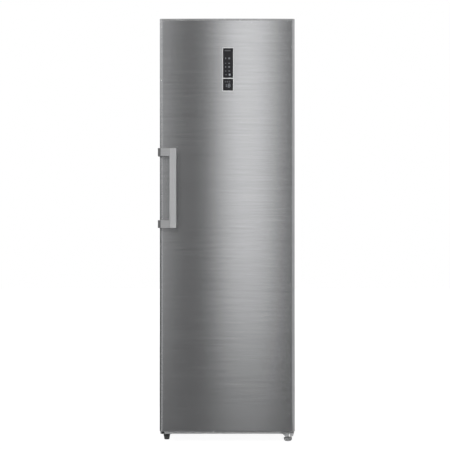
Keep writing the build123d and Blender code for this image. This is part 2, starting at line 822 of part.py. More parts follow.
with BuildPart() as door_top_cap:
    with BuildSketch(Plane.XY.offset(skin_top)):
        add(outer_outline)
    extrude(amount=top_cap_height)
    chamfer(door_top_cap.faces().sort_by(Axis.Z)[-1].edges(), length=1.2)
    with Locations((pocket_left - pocket_wall, pocket_y - pocket_wall, pocket_base)):
        Box(
            half - pocket_left + pocket_wall,
            door_back - pocket_y + pocket_wall,
            skin_top - pocket_base,
            align=(Align.MIN, Align.MIN, Align.MIN),
        )
    with Locations((hinge_x, hinge_y, pocket_base)):
        Cylinder(boss_outer / 2, bush_depth, align=(Align.CENTER, Align.CENTER, Align.MAX))
    with Locations((pocket_left, pocket_y, pocket_floor)):
        Box(
            half,
            door_thickness,
            far,
            align=(Align.MIN, Align.MIN, Align.MIN),
            mode=Mode.SUBTRACT,
        )
    with Locations((hinge_x, hinge_y, pocket_floor)):
        Cylinder(bush_outer / 2, 2 * bush_depth, mode=Mode.SUBTRACT)
save(door_top_cap, "door_top_cap")

with BuildPart() as door_bottom_cap:
    with BuildSketch(Plane.XY.offset(door_bottom)):
        add(outer_outline)
    extrude(amount=bottom_cap_height)
    chamfer(door_bottom_cap.faces().sort_by(Axis.Z)[0].edges(), length=1)
    with Locations((hinge_x, hinge_y, skin_bottom)):
        Cylinder(
            boss_outer / 2,
            bush_depth - bottom_cap_height + 2,
            align=(Align.CENTER, Align.CENTER, Align.MIN),
        )
        Cylinder(bush_outer / 2, 2 * bush_depth - 2 * bottom_cap_height, mode=Mode.SUBTRACT)
save(door_bottom_cap, "door_bottom_cap")


def bush(seat, away):
    """Flanged bush that enters the door at height seat, away from the hinge plate."""
    with BuildPart() as piece:
        with BuildSketch(Plane.XY.offset(seat)):
            with Locations((hinge_x, hinge_y)):
                RegularPolygon(bush_outer / 2, bush_sides)
                Circle(hinge_pin / 2 + running_gap, mode=Mode.SUBTRACT)
        extrude(amount=away * bush_depth)
        with BuildSketch(Plane.XY.offset(seat)):
            with Locations((hinge_x, hinge_y)):
                RegularPolygon(bush_flange / 2, bush_sides)
                Circle(hinge_pin / 2 + running_gap, mode=Mode.SUBTRACT)
        extrude(amount=-away * (2 - soft_gap))
    return piece


save(bush(pocket_floor, -1), "door_top_bush")
save(bush(door_bottom, 1), "door_bottom_bush")

gasket_left = half - gasket_inset
gasket_high = cabinet_top - 20
gasket_low = door_bottom + 12
gasket_mid_z = (gasket_low + gasket_high) / 2
gasket_height = gasket_high - gasket_low
panel_half = half - panel_inset
panel_low = liner_floor + 4
panel_high = liner_top - 4
groove_width = gasket_dart_width + 1
groove_depth = gasket_dart_depth + 1
dart_inset = (gasket_width - gasket_dart_width) / 2
groove_inset = (gasket_width - groove_width) / 2


def ring(plane, inset, band):
    """Rectangular band around the door's back, inset from the gasket's outer edge."""
    with BuildSketch(plane) as frame:
        with Locations((0, gasket_mid_z)):
            Rectangle(2 * (gasket_left - inset), gasket_height - 2 * inset)
            Rectangle(
                2 * (gasket_left - inset - band),
                gasket_height - 2 * (inset + band),
                mode=Mode.SUBTRACT,
            )
    return frame.sketch


groove_ring = ring(Plane.XZ.offset(-liner_plane), groove_inset, groove_width)
groove_wall_ring = ring(
    Plane.XZ.offset(-liner_plane), groove_inset - door_liner_wall, groove_width + 2 * door_liner_wall
)
dart_ring = ring(Plane.XZ.offset(-liner_plane), dart_inset, gasket_dart_width)
gasket_ring = ring(Plane.XZ.offset(-liner_plane), 0, gasket_width)


def panel_face(inset):
    """Outline of the raised middle of the door liner."""
    with BuildSketch(Plane.XZ.offset(-liner_plane)) as face:
        with Locations((0, (panel_low + panel_high) / 2)):
            outline = Rectangle(2 * (panel_half - inset), panel_high - panel_low - 2 * inset)
        chamfer(outline.vertices(), length=panel_corner - inset / 2)
    return face.sketch


with BuildPart() as door_liner:
    with BuildSketch(Plane.XZ.offset(-liner_plane)):
        with Locations((0, (skin_bottom + skin_top) / 2)):
            Rectangle(width - 2 * door_sheet, skin_top - skin_bottom)
    extrude(amount=door_liner_wall)
    extrude(panel_face(0), amount=-panel_rise, taper=panel_slope)
    extrude(panel_face(door_liner_wall), amount=door_liner_wall, mode=Mode.SUBTRACT)
    extrude(panel_face(door_liner_wall), amount=-(panel_rise - door_liner_wall), taper=panel_slope, mode=Mode.SUBTRACT)
    extrude(groove_wall_ring, amount=groove_depth + door_liner_wall)
    extrude(groove_ring, amount=groove_depth, mode=Mode.SUBTRACT)
    add(hinge_corner, mode=Mode.SUBTRACT)
save(door_liner, "door_liner")

with BuildPart() as door_gasket:
    extrude(gasket_ring, amount=-(cabinet_front - soft_gap - liner_plane))
    extrude(dart_ring, amount=gasket_dart_depth)
save(door_gasket, "door_gasket")

display_pocket = 16.0
with BuildPart() as door_insulation:
    with BuildSketch(Plane.XY.offset(skin_bottom)):
        add(foam_outline)
    extrude(amount=skin_top - skin_bottom)
    with Locations((0, liner_plane - door_liner_wall, 0)):
        Box(width, door_thickness, far, align=(Align.CENTER, Align.MIN, Align.CENTER), mode=Mode.SUBTRACT)
    extrude(panel_face(door_liner_wall), amount=door_liner_wall)
    extrude(panel_face(door_liner_wall), amount=-(panel_rise - door_liner_wall), taper=panel_slope)
    extrude(groove_wall_ring, amount=groove_depth + door_liner_wall, mode=Mode.SUBTRACT)
    add(hinge_corner, mode=Mode.SUBTRACT)
    with Locations((hinge_x, hinge_y, pocket_base)):
        Cylinder(boss_outer / 2, 2 * bush_depth, mode=Mode.SUBTRACT)
    with Locations((hinge_x, hinge_y, door_bottom)):
        Cylinder(boss_outer / 2, 2 * bush_depth + 4, mode=Mode.SUBTRACT)
    with Locations((display_x, crown, display_mid)):
        Box(
            rim_width + 8,
            2 * (rim_back + display_pocket - crown),
            rim_height + 8,
            mode=Mode.SUBTRACT,
        )
    with Locations([(-half, arm_screw_y, z) for z in arm_screw_heights]):
        Cylinder(
            handle_screw / 2,
            2 * (handle_screw_length - handle_foot_thickness),
            rotation=(0, 90, 0),
            mode=Mode.SUBTRACT,
        )
save(door_insulation, "door_insulation")

# ================================================================ handle
bar_left = -half + handle_bar_inset
with BuildPart() as handle_bar:
    with BuildSketch(Plane.XY.offset(handle_low)):
        with Locations((bar_left + handle_bar_width / 2, handle_front + handle_bar_thickness / 2)):
            RectangleRounded(handle_bar_width, handle_bar_thickness, handle_bar_rounding)
    extrude(amount=handle_length)
save(handle_bar, "handle_bar")


def handle_bracket(mid):
    """Arm from the bar to the side of the door, bent round the door's edge."""
    foot_left_x = -half - handle_foot_thickness
    foot_end = door_front + handle_foot_reach
    with BuildPart() as bracket:
        with BuildSketch(Plane.XY.offset(mid - handle_arm_height / 2)) as plan:
            with BuildLine():
                Polyline(
                    (bar_left, handle_front),
                    (foot_left_x, handle_front),
                    (foot_left_x, foot_end),
                    (-half, foot_end),
                    (-half, handle_front + handle_arm_thickness),
                    (bar_left, handle_front + handle_arm_thickness),
                    close=True,
                )
            make_face()
            bends = plan.vertices().group_by(Axis.X)
            fillet(bends[0].sort_by(Axis.Y)[0], radius=handle_bend_outer)
            fillet(bends[1].sort_by(Axis.Y)[0], radius=handle_bend_inner)
        extrude(amount=handle_arm_height)
        with Locations(Plane(origin=(foot_left_x, arm_screw_y, mid), x_dir=(0, 1, 0), z_dir=(-1, 0, 0))):
            with GridLocations(1, arm_screw_spread, 1, 2):
                CounterBoreHole(handle_screw / 2, handle_screw, screw_sink, handle_foot_thickness)
    return bracket


save(handle_bracket(arm_mids[1]), "handle_bracket_upper")
save(handle_bracket(arm_mids[0]), "handle_bracket_lower")

screw_seat = -half - handle_foot_thickness + screw_sink
with BuildPart() as handle_screws:
    for screw_z in arm_screw_heights:
        with BuildSketch(Plane.YZ.offset(screw_seat - screw_sink + head_recess)):
            with Locations((arm_screw_y, screw_z)):
                RegularPolygon(handle_screw, 2 * shank_sides)
        extrude(amount=screw_sink - head_recess)
        with BuildSketch(Plane.YZ.offset(screw_seat)):
            with Locations((arm_screw_y, screw_z)):
                RegularPolygon(handle_screw / 2, shank_sides)
        extrude(amount=handle_screw_length - screw_sink)
save(handle_screws, "handle_screws")

# ================================================================ display
display_plane = Plane.XZ.offset(-(crown - display_proud))
glass_thickness = 3.0
glass_step = 0.4  # the rim stands this far ahead of the glass
glass_ledge = 2.2
glass_corner = 1.5
lower_glass_mid = display_low + display_lower_glass / 2
upper_glass_low = display_low + display_lower_glass + display_bridge
upper_glass_mid = (upper_glass_low + display_high) / 2
glass_panels = [
    ("display_glass_lower", lower_glass_mid, display_lower_glass),
    ("display_glass_upper", upper_glass_mid, display_high - upper_glass_low),
]

with BuildPart() as display_bezel:
    with BuildSketch(display_plane):
        with Locations((display_x, display_mid)):
            RectangleRounded(rim_width, rim_height, 3)
    extrude(amount=-(rim_back - crown + display_proud))
    for glass_name, glass_mid, glass_height in glass_panels:
        with BuildSketch(display_plane):
            with Locations((display_x, glass_mid)):
                RectangleRounded(display_width, glass_height, glass_corner)
        extrude(amount=-(glass_step + glass_thickness), mode=Mode.SUBTRACT)
        with BuildSketch(display_plane):
            with Locations((display_x, glass_mid)):
                Rectangle(display_width - 2 * glass_ledge, glass_height - 2 * glass_ledge)
        extrude(amount=-far, mode=Mode.SUBTRACT)
save(display_bezel, "display_bezel")

for glass_name, glass_mid, glass_height in glass_panels:
    with BuildPart() as display_glass:
        with BuildSketch(display_plane.offset(-glass_step)):
            with Locations((display_x, glass_mid)):
                RectangleRounded(display_width, glass_height, glass_corner)
        extrude(amount=-glass_thickness)
    save(display_glass, glass_name)

board_thickness = 1.6
chip_width = 26.0
chip_height = 18.0
chip_thickness = 5.0
light_size = 6.0
light_pitch = 24.0
key_pitch = 15.0
plug_socket_width = 24.0
plug_socket_height = 9.0
with BuildPart() as display_board:
    with BuildSketch(Plane.XZ.offset(-rim_back)):
        with Locations((display_x, display_mid)):
            Rectangle(rim_width, rim_height - 4)
    extrude(amount=-board_thickness)
    with BuildSketch(Plane.XZ.offset(-rim_back)):
        with Locations((display_x, lower_glass_mid)):
            Rectangle(chip_width, chip_height)
        with Locations((display_x, upper_glass_mid)):
            with GridLocations(key_pitch, light_pitch, 2, 4):
                Rectangle(light_size, light_size)
    extrude(amount=3)
    with BuildSketch(Plane.XZ.offset(-rim_back - board_thickness)):
        with Locations((display_x, display_mid + chip_height)):
            Rectangle(chip_height, chip_height)
        with Locations((display_x, display_low + plug_socket_height)):
            Rectangle(plug_socket_width, plug_socket_height)
    extrude(amount=-chip_thickness)
save(display_board, "display_board")

# ================================================================ shelves and drawers
with BuildPart() as glass_shelves:
    for shelf_z in shelf_bottoms:
        with Locations((0, shelf_front + 6, shelf_z)):
            Box(
                2 * (inner_half - shelf_side_gap),
                shelf_back - shelf_front - 6,
                shelf_glass,
                align=(Align.CENTER, Align.MIN, Align.MIN),
            )
save(glass_shelves, "glass_shelves")

with BuildPart() as shelf_trims:
    for shelf_z in shelf_bottoms:
        with BuildSketch(Plane.YZ.offset(-inner_half + shelf_side_gap)):
            with BuildLine():
                Polyline(
                    (shelf_front + 2, shelf_z - trim_drop),
                    (shelf_front + trim_depth, shelf_z - trim_drop),
                    (shelf_front + trim_depth, shelf_z),
                    (shelf_front + 6, shelf_z),
                    (shelf_front + 6, shelf_z + shelf_glass),
                    (shelf_front + 2, shelf_z + shelf_glass),
                    (shelf_front, shelf_z + shelf_glass - 2),
                    (shelf_front, shelf_z),
                    close=True,
                )
            make_face()
        extrude(amount=2 * (inner_half - shelf_side_gap))
save(shelf_trims, "shelf_trims")

drawer_half = inner_half - drawer_side_gap
drawer_front = cabinet_front + drawer_setback
front_wall = 3.0
grip_width = 130.0
grip_reach = 14.0
grip_height = 26.0


def tub(bottom, top, rear, wall):
    """Tapered form with cut corners, a wall inside the bin's outer faces."""
    length = rear - drawer_front - front_wall
    middle = (rear + drawer_front + front_wall) / 2
    inset = drawer_taper + wall
    with BuildPart() as form:
        with BuildSketch(Plane.XY.offset(bottom)):
            with Locations((0, middle)):
                floor_plan = Rectangle(2 * (drawer_half - inset), length - 2 * inset)
            chamfer(floor_plan.vertices(), length=drawer_corner - wall / 2)
        extrude(amount=top - bottom, taper=-degrees(atan(drawer_taper / (top - bottom))))
    return form.part


def drawer(bottom, top, rear):
    """Clear bin with a taller face and a moulded pull."""
    bin_top = top - 22
    outside = tub(bottom, bin_top, rear, 0)
    inside = tub(bottom + 2.5, bin_top + 1, rear, drawer_wall)
    with BuildPart() as piece:
        add(outside)
        add(inside, mode=Mode.SUBTRACT)
        with BuildSketch(Plane.XZ.offset(-drawer_front)):
            with Locations((0, (bottom + top) / 2)):
                RectangleRounded(2 * drawer_half, top - bottom, 10)
        extrude(amount=-(front_wall + drawer_taper))
        with Locations((0, drawer_front + front_wall, bottom + 12)):
            Box(
                2 * (drawer_half - 22),
                drawer_taper + 1,
                far,
                align=(Align.CENTER, Align.MIN, Align.MIN),
                mode=Mode.SUBTRACT,
            )
        with BuildSketch(Plane.YZ.offset(-grip_width / 2)):
            with BuildLine():
                Polyline(
                    (drawer_front + 1, top - 14),
                    (drawer_front - grip_reach + 4, top - 14),
                    (drawer_front - grip_reach, top - 18),
                    (drawer_front - grip_reach, top - 14 - grip_height),
                    (drawer_front - grip_reach + 3, top - 14 - grip_height),
                    (drawer_front - grip_reach + 3, top - 17),
                    (drawer_front + 1, top - 17),
                    close=True,
                )
            make_face()
        extrude(amount=grip_width)
    return piece


rest_z = liner_floor + soft_gap
drawer_bays = [(rest_z, shelf_bottoms[0] - drawer_top_gap, hump_front - drawer_rear_gap)]
for number in range(1, drawer_count):
    bay_floor = shelf_bottoms[number - 1] + shelf_glass + soft_gap
    drawer_bays.append((bay_floor, shelf_bottoms[number] - drawer_top_gap, shelf_back - drawer_rear_gap))
for number, (bay_floor, bay_roof, bay_rear) in enumerate(drawer_bays, start=1):
    save(drawer(bay_floor, bay_roof, bay_rear), f"drawer_{number}")

flap_half = inner_half - shelf_ledge_width - 2
flap_floors = [shelf_bottoms[i - 1] + shelf_glass for i in range(drawer_count, drawer_count + flap_count)]
for flap_number, (flap_floor, flap_ceiling) in enumerate(zip(flap_floors, flap_ceilings), start=1):
    axis_z = flap_ceiling - flap_axis_drop
    with BuildPart() as flap:
        with BuildSketch(Plane.YZ.offset(-flap_half)):
            with BuildLine():
                Polyline(
                    (flap_axis_y - 4, axis_z),
                    (drawer_front, axis_z - 8),
                    (drawer_front, flap_floor + 22),
                    (drawer_front - 8, flap_floor + 16),
                    (drawer_front - 8, flap_floor + 4),
                    (drawer_front - 5, flap_floor + 4),
                    (drawer_front - 5, flap_floor + 14),
                    (drawer_front + flap_wall, flap_floor + 19),
                    (drawer_front + flap_wall, axis_z - 8),
                    (flap_axis_y + 4, axis_z),
                    close=True,
                )
            make_face()
            with Locations((flap_axis_y, axis_z)):
                Circle(flap_barrel / 2)
        extrude(amount=2 * flap_half)
        with Locations((0, flap_axis_y, axis_z)):
            Cylinder(flap_pin / 2, 2 * (inner_half - 2), rotation=(0, 90, 0))
    save(flap, f"flap_{flap_number}")

lens_width = 90.0
lens_depth = 34.0
lens_height = 7.0
with BuildPart() as lamp_lens:
    with BuildSketch(Plane.XY.offset(liner_top)) as lens_plan:
        with Locations((0, cabinet_front + lens_width)):
            Rectangle(lens_width, lens_depth)
        chamfer(lens_plan.vertices(), length=lens_height)
    extrude(amount=-lens_height)
    chamfer(lamp_lens.faces().sort_by(Axis.Z)[0].edges(), length=lens_height / 2)
save(lamp_lens, "lamp_lens")

# ================================================================ cold air
cover_front = shelf_back + 5
cover_sheet = 2.5
cover_low = hump_top + 24
cover_high = liner_top - throat_radius - 1
vent_drop = 40.0  # underside of a shelf to the air slots of the bay below it
grille_radius = 52.0
grille_pitch = 11.0
grille_rows = 4
fan_z = cover_high - 190
evaporator_low = fan_z - 560
evaporator_high = fan_z - 140

duct_width = 56.0
duct_height = 7.0
duct_pitch = 84.0
grille_slot = 5.0
with BuildPart() as evaporator_cover:
    with BuildSketch(Plane.XZ.offset(-cover_front)):
        with Locations((0, (cover_low + cover_high) / 2)):
            Rectangle(2 * (inner_half - 1), cover_high - cover_low)
    extrude(amount=-(liner_back - cover_front))
    with BuildSketch(Plane.XZ.offset(-cover_front - cover_sheet)):
        with Locations((0, (cover_low + cover_high) / 2)):
            Rectangle(2 * (inner_half - 1 - cover_sheet), cover_high - cover_low - 2 * cover_sheet)
    extrude(amount=-far, mode=Mode.SUBTRACT)
    with BuildSketch(Plane.XZ.offset(-cover_front + 1)):
        for shelf_z in shelf_bottoms:
            with Locations((0, shelf_z + shelf_pitch - vent_drop)):
                with GridLocations(duct_pitch, 1, 4, 1):
                    Rectangle(duct_width, duct_height)
        for step in range(-grille_rows, grille_rows + 1):
            slot_rise = step * grille_pitch
            with Locations((0, fan_z + slot_rise)):
                Rectangle(2 * (grille_radius**2 - slot_rise**2) ** 0.5, grille_slot)
    extrude(amount=-cover_sheet - 2, mode=Mode.SUBTRACT)
    with Locations((drain_x, drain_y, cover_low)):
        Cylinder(drain_outer / 2, 4 * cover_sheet, mode=Mode.SUBTRACT)
save(evaporator_cover, "evaporator_cover")

# Serpentine flat tube through a pack of upright fins, between two end plates.
coil_runs = 5
coil_reach = 176.0
coil_end = 20.0  # end of the fins to the first and last run
coil_pitch = (evaporator_high - evaporator_low - 2 * coil_end) / (coil_runs - 1)
coil_tube = 5.0
coil_width = 22.0
bend_sides = 12
coil_y = (cover_front + cover_sheet + liner_back) / 2
with BuildPart() as evaporator:
    with BuildSketch(Plane.XZ.offset(-coil_y + coil_width / 2)):
        for run in range(coil_runs):
            run_z = evaporator_low + coil_end + run * coil_pitch
            with Locations((0, run_z)):
                Rectangle(2 * coil_reach, coil_tube)
            if run < coil_runs - 1:
                bend_side = 1 if run % 2 == 0 else -1
                with Locations((bend_side * coil_reach, run_z + coil_pitch / 2)):
                    bend_outer = coil_pitch / 2 + coil_tube / 2
                    bend_inner = coil_pitch / 2 - coil_tube / 2
                    RegularPolygon(bend_outer, bend_sides, major_radius=False, rotation=180 / bend_sides)
                    RegularPolygon(
                        bend_inner,
                        bend_sides,
                        major_radius=False,
                        rotation=180 / bend_sides,
                        mode=Mode.SUBTRACT,
                    )
                    Rectangle(
                        coil_pitch + coil_tube,
                        coil_pitch - coil_tube,
                        align=(Align.MAX if bend_side > 0 else Align.MIN, Align.CENTER),
                        mode=Mode.SUBTRACT,
                    )
    extrude(amount=-coil_width)
    with Locations((0, coil_y, (evaporator_low + evaporator_high) / 2)):
        with GridLocations(48, 1, 7, 1):
            Box(1, coil_width + 14, evaporator_high - evaporator_low)
    for plate_x in (-coil_reach + 8, coil_reach - 8):
        with Locations((plate_x, cover_front + cover_sheet + 4, evaporator_low)):
            Box(
                1.5,
                liner_back - cover_front - cover_sheet - 4,
                evaporator_high - evaporator_low,
                align=(Align.CENTER, Align.MIN, Align.MIN),
            )
save(evaporator, "evaporator")

heater_z = evaporator_low - 12
heater_tube = 10.0
clip_width = 6.0
clip_depth = 14.0
clip_height = 20.0
clip_inset = 8.0
with BuildPart() as defrost_heater:
    with Locations((0, coil_y, heater_z)):
        Cylinder(heater_tube / 2, 2 * coil_reach, rotation=(0, 90, 0))
    for clip_x in (-coil_reach + clip_inset, coil_reach - clip_inset):
        with Locations((clip_x, coil_y, evaporator_low)):
            Box(clip_width, clip_depth, clip_height, align=(Align.CENTER, Align.CENTER, Align.MAX))
save(defrost_heater, "defrost_heater")

tray_top = heater_z - 14
tray_depth = liner_back - cover_front - cover_sheet - 1
pan_bottom = 198.0
spout_top = tray_top - 30
spout_end = pan_bottom + 12
drain_wall = 2.0
tray_lip = 20.0  # the tray's reach beyond the coil
tray_sheet = 1.5
with BuildPart() as drip_tray:
    with BuildSketch(Plane.XZ.offset(-(liner_back - tray_depth))):
        with BuildLine():
            Polyline(
                (-coil_reach - tray_lip, tray_top),
                (coil_reach + tray_lip, tray_top),
                (coil_reach + tray_lip, tray_top - drain_outer),
                (drain_x + drain_outer, spout_top),
                (drain_x - drain_outer, spout_top),
                (-coil_reach - tray_lip, tray_top - tray_lip),
                close=True,
            )
        make_face()
    extrude(amount=-tray_depth)
    offset(amount=-tray_sheet, openings=drip_tray.faces().sort_by(Axis.Z)[-1])
    with BuildSketch(Plane.XY.offset(spout_top)):
        with Locations((drain_x, drain_y)):
            Circle(drain_outer / 2)
    extrude(amount=-(spout_top - spout_end))
    with BuildSketch(Plane.XY.offset(spout_end)):
        with Locations((drain_x, drain_y)):
            Circle(drain_outer / 2 - drain_wall)
    extrude(amount=tray_top - spout_end, mode=Mode.SUBTRACT)
save(drip_tray, "drip_tray")

shaft = 4.0
rotor_front = cover_front + cover_sheet + 10
rotor_depth = 20.0
hub_radius = 17.0
blade_tip = 47.0
blade_count = 5
blade_lean = radians(38)
blade_root = 18.0
blade_chord = 27.0
blade_sheet = 1.6
motor_front = rotor_front + rotor_depth + 3
motor_radius = 24.0
motor_plate_width = 150.0
motor_plate_sheet = 2.5
shaft_front = rotor_front + 5
plate_corner = 8.0
with BuildPart() as fan_rotor:
    with BuildSketch(Plane.XZ.offset(-rotor_front)):
        with Locations((0, fan_z)):
            Circle(hub_radius)
    extrude(amount=-rotor_depth)
    for blade in range(blade_count):
        blade_turn = radians(360 / blade_count * blade)
        spoke = Plane(
            origin=(0, rotor_front + rotor_depth / 2, fan_z),
            x_dir=(cos(blade_turn), 0, sin(blade_turn)),
            z_dir=(-sin(blade_turn) * sin(blade_lean), cos(blade_lean), cos(blade_turn) * sin(blade_lean)),
        )
        with BuildSketch(spoke.offset(-blade_sheet / 2)):
            with BuildLine():
                Polyline(
                    (hub_radius - 3, -blade_root / 2),
                    (blade_tip, -blade_chord / 2),
                    (blade_tip, blade_chord / 2),
                    (hub_radius - 3, blade_root / 2),
                    close=True,
                )
            make_face()
        extrude(amount=blade_sheet)
    with BuildSketch(Plane.XZ.offset(-rotor_front - 3)):
        with Locations((0, fan_z)):
            Circle(shaft / 2 + running_gap)
    extrude(amount=-far, mode=Mode.SUBTRACT)
save(fan_rotor, "fan_rotor")

with BuildPart() as fan_motor:
    with BuildSketch(Plane.XZ.offset(-motor_front)):
        with Locations((0, fan_z)):
            Circle(motor_radius)
    extrude(amount=-(liner_back - motor_front))
    with BuildSketch(Plane.XZ.offset(-liner_back)) as motor_plate:
        with Locations((0, fan_z)):
            Rectangle(motor_plate_width, 2 * motor_radius - plate_corner / 2)
        chamfer(motor_plate.vertices(), length=plate_corner)
    extrude(amount=motor_plate_sheet)
    with BuildSketch(Plane.XZ.offset(-shaft_front)):
        with Locations((0, fan_z)):
            Circle(shaft / 2)
    extrude(amount=-(motor_front - shaft_front))
save(fan_motor, "fan_motor")

# ================================================================ compressor bay
compressor_x = -120.0
compressor_y = bay_front + 98
compressor_radius = 78.0
mount_height = 8.0
foot_plate = 3.0
shell_low = foam_bottom + mount_height + foot_plate
shell_high = pan_bottom - soft_gap
shell_seam = shell_low + 95
shell_lap = 5.0
shell_shoulder = 24.0
shell_sides = 20  # two of its flats face the pipes
mount_neck = 6.0
mount_pad = 11.0
plate_width = 204.0
plate_depth = 138.0
mount_edge = 13.0  # edge of the plate to the mounts
mount_spots = [
    (compressor_x + sx * (plate_width / 2 - mount_edge), compressor_y + sy * (plate_depth / 2 - mount_edge))
    for sx in (-1, 1)
    for sy in (-1, 1)
]

with BuildPart() as compressor:
    with BuildSketch(Plane.XY.offset(foam_bottom + mount_height)):
        with Locations((compressor_x, compressor_y)):
            Rectangle(plate_width, plate_depth)
        with Locations(mount_spots):
            RegularPolygon(mount_neck, 6, mode=Mode.SUBTRACT)
    extrude(amount=foot_plate)
    for lap, half_low, half_high in (
        (0, shell_low, shell_seam),
        (shell_lap, shell_seam, shell_high),
    ):
        with BuildSketch(Plane.XY.offset(half_low)):
            with Locations((compressor_x, compressor_y)):
                RegularPolygon(
                    compressor_radius - lap, shell_sides, major_radius=False, rotation=180 / shell_sides
                )
        extrude(amount=half_high - half_low)
    chamfer(compressor.faces().sort_by(Axis.Z)[-1].edges(), length=shell_shoulder)
save(compressor, "compressor")

mount_sides = 8
with BuildPart() as compressor_mounts:
    for x, y in mount_spots:
        with BuildSketch(Plane.XY.offset(foam_bottom)):
            with Locations((x, y)):
                RegularPolygon(mount_pad, mount_sides)
        extrude(amount=mount_height)
        with BuildSketch(Plane.XY.offset(foam_bottom + mount_height)):
            with Locations((x, y)):
                RegularPolygon(mount_neck, 6)
        extrude(amount=foot_plate + 5)
save(compressor_mounts, "compressor_mounts")

tray_wall = 2.0
pan_width = 150.0
pan_depth = 128.0
pan_height = 30.0
pan_slope = 6.0  # degrees
pan_corner = 14.0
with BuildPart() as evaporation_tray:
    for tray_inset, tray_mode in ((0, Mode.ADD), (tray_wall, Mode.SUBTRACT)):
        with BuildSketch(Plane.XY.offset(pan_bottom + tray_inset)):
            with Locations((compressor_x, compressor_y)):
                pan_plan = Rectangle(pan_width - 2 * tray_inset, pan_depth - 2 * tray_inset)
            chamfer(pan_plan.vertices(), length=pan_corner - tray_inset)
        extrude(amount=pan_height, taper=-pan_slope, mode=tray_mode)
save(evaporation_tray, "evaporation_tray")

pipe = 6.0
pipe_bend = 9.0
pipe_reach = 36.0  # the pipes turn up this far from the shell
drier_radius = 9.0
drier_length = 40.0
pipe_z = shell_low + 60
pipe_rise = bay_top - bay_slope - 30
with BuildPart() as refrigerant_pipes:
    for pipe_side in (-1, 1):
        start_x = compressor_x + pipe_side * compressor_radius
        turn_x = compressor_x + pipe_side * (compressor_radius + pipe_reach)
        with BuildLine() as route:
            Polyline(
                (start_x, compressor_y, pipe_z),
                (turn_x - pipe_side * pipe_bend, compressor_y, pipe_z),
                (turn_x, compressor_y, pipe_z + pipe_bend),
                (turn_x, compressor_y, pipe_rise - pipe_bend),
                (turn_x, compressor_y - pipe_bend, pipe_rise),
                (turn_x, bay_front + sheet, pipe_rise),
            )
        with BuildSketch(Plane(origin=(start_x, compressor_y, pipe_z), z_dir=(pipe_side, 0, 0))):
            RegularPolygon(pipe / 2, 8)
        sweep(path=route.wires()[0], transition=Transition.RIGHT)
    drier_x = compressor_x + compressor_radius + pipe_reach
    with Locations((drier_x, compressor_y, (pipe_z + pipe_rise) / 2)):
        Cylinder(drier_radius, drier_length)
save(refrigerant_pipes, "refrigerant_pipes")

box_width = 120.0
box_depth = 110.0
box_height = 90.0
lid_height = 30.0
lid_lip = 3.0
with BuildPart() as control_box:
    for lid_grow, box_low in ((0, foam_bottom), (lid_lip, foam_bottom + box_height - lid_height)):
        with BuildSketch(Plane.XY.offset(box_low)) as box_plan:
            with Locations((half - 150, bay_front + 86)):
                Rectangle(box_width + 2 * lid_grow, box_depth + 2 * lid_grow)
            chamfer(box_plan.vertices(), length=2 * lid_lip)
        extrude(amount=foam_bottom + box_height - box_low)
    chamfer(control_box.faces().sort_by(Axis.Z)[-1].edges(), length=lid_lip)
save(control_box, "control_box")

rear_cover_back = back - sheet
rear_cover_sheet = 2.0
gland_x = half - 95
gland_z = foam_bottom + 150
gland_bore = 8.0
gland_sides = 6
gland_neck = 10.0
gland_collar = 13.0
vent_x = -130.0
vent_slot = 8.0
vent_height = 56.0
vent_pitch = 20.0
vent_row_pitch = 78.0
vent_count = 10
with BuildPart() as rear_cover:
    with BuildSketch(Plane.XZ.offset(-rear_cover_back)):
        with Locations((0, (foam_bottom + bay_top - sheet) / 2)):
            Rectangle(2 * (half - sheet - soft_gap), bay_top - sheet - foam_bottom - 2 * soft_gap)
        with Locations((vent_x, (foam_bottom + bay_top) / 2)):
            with GridLocations(vent_pitch, vent_row_pitch, vent_count, 2):
                Rectangle(vent_slot, vent_height, mode=Mode.SUBTRACT)
        with Locations((gland_x, gland_z)):
            Circle(gland_neck, mode=Mode.SUBTRACT)
    extrude(amount=rear_cover_sheet)
save(rear_cover, "rear_cover")

with BuildPart() as cord_gland:
    with BuildSketch(Plane.XZ.offset(-rear_cover_back)):
        with Locations((gland_x, gland_z)):
            RegularPolygon(gland_collar, gland_sides)
    extrude(amount=-sheet)
    with BuildSketch(Plane.XZ.offset(-back)):
        with Locations((gland_x, gland_z)):
            RegularPolygon(gland_neck, 2 * gland_sides)
    extrude(amount=sheet + rear_cover_sheet + 4)
    with BuildSketch(Plane.XZ.offset(-back)):
        with Locations((gland_x, gland_z)):
            Circle(gland_bore / 2)
    extrude(amount=far, mode=Mode.SUBTRACT)
save(cord_gland, "cord_gland")
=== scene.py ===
import json
from math import radians

import bpy
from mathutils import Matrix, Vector


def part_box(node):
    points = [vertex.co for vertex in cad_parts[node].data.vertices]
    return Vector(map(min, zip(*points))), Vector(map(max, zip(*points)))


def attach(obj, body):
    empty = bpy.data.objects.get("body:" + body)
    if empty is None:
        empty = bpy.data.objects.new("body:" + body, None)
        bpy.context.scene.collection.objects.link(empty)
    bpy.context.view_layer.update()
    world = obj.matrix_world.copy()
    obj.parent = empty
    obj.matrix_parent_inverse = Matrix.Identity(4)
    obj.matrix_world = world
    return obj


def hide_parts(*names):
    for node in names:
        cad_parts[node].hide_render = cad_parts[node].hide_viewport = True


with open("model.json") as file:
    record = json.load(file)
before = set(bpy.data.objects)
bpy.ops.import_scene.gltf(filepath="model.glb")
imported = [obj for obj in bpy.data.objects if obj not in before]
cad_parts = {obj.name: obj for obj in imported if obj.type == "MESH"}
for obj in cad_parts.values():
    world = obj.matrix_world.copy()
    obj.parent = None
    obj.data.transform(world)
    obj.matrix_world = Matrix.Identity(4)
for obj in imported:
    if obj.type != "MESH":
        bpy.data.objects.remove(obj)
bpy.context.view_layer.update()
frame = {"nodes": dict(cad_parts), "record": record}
nodes = frame["nodes"]

MM = 0.001

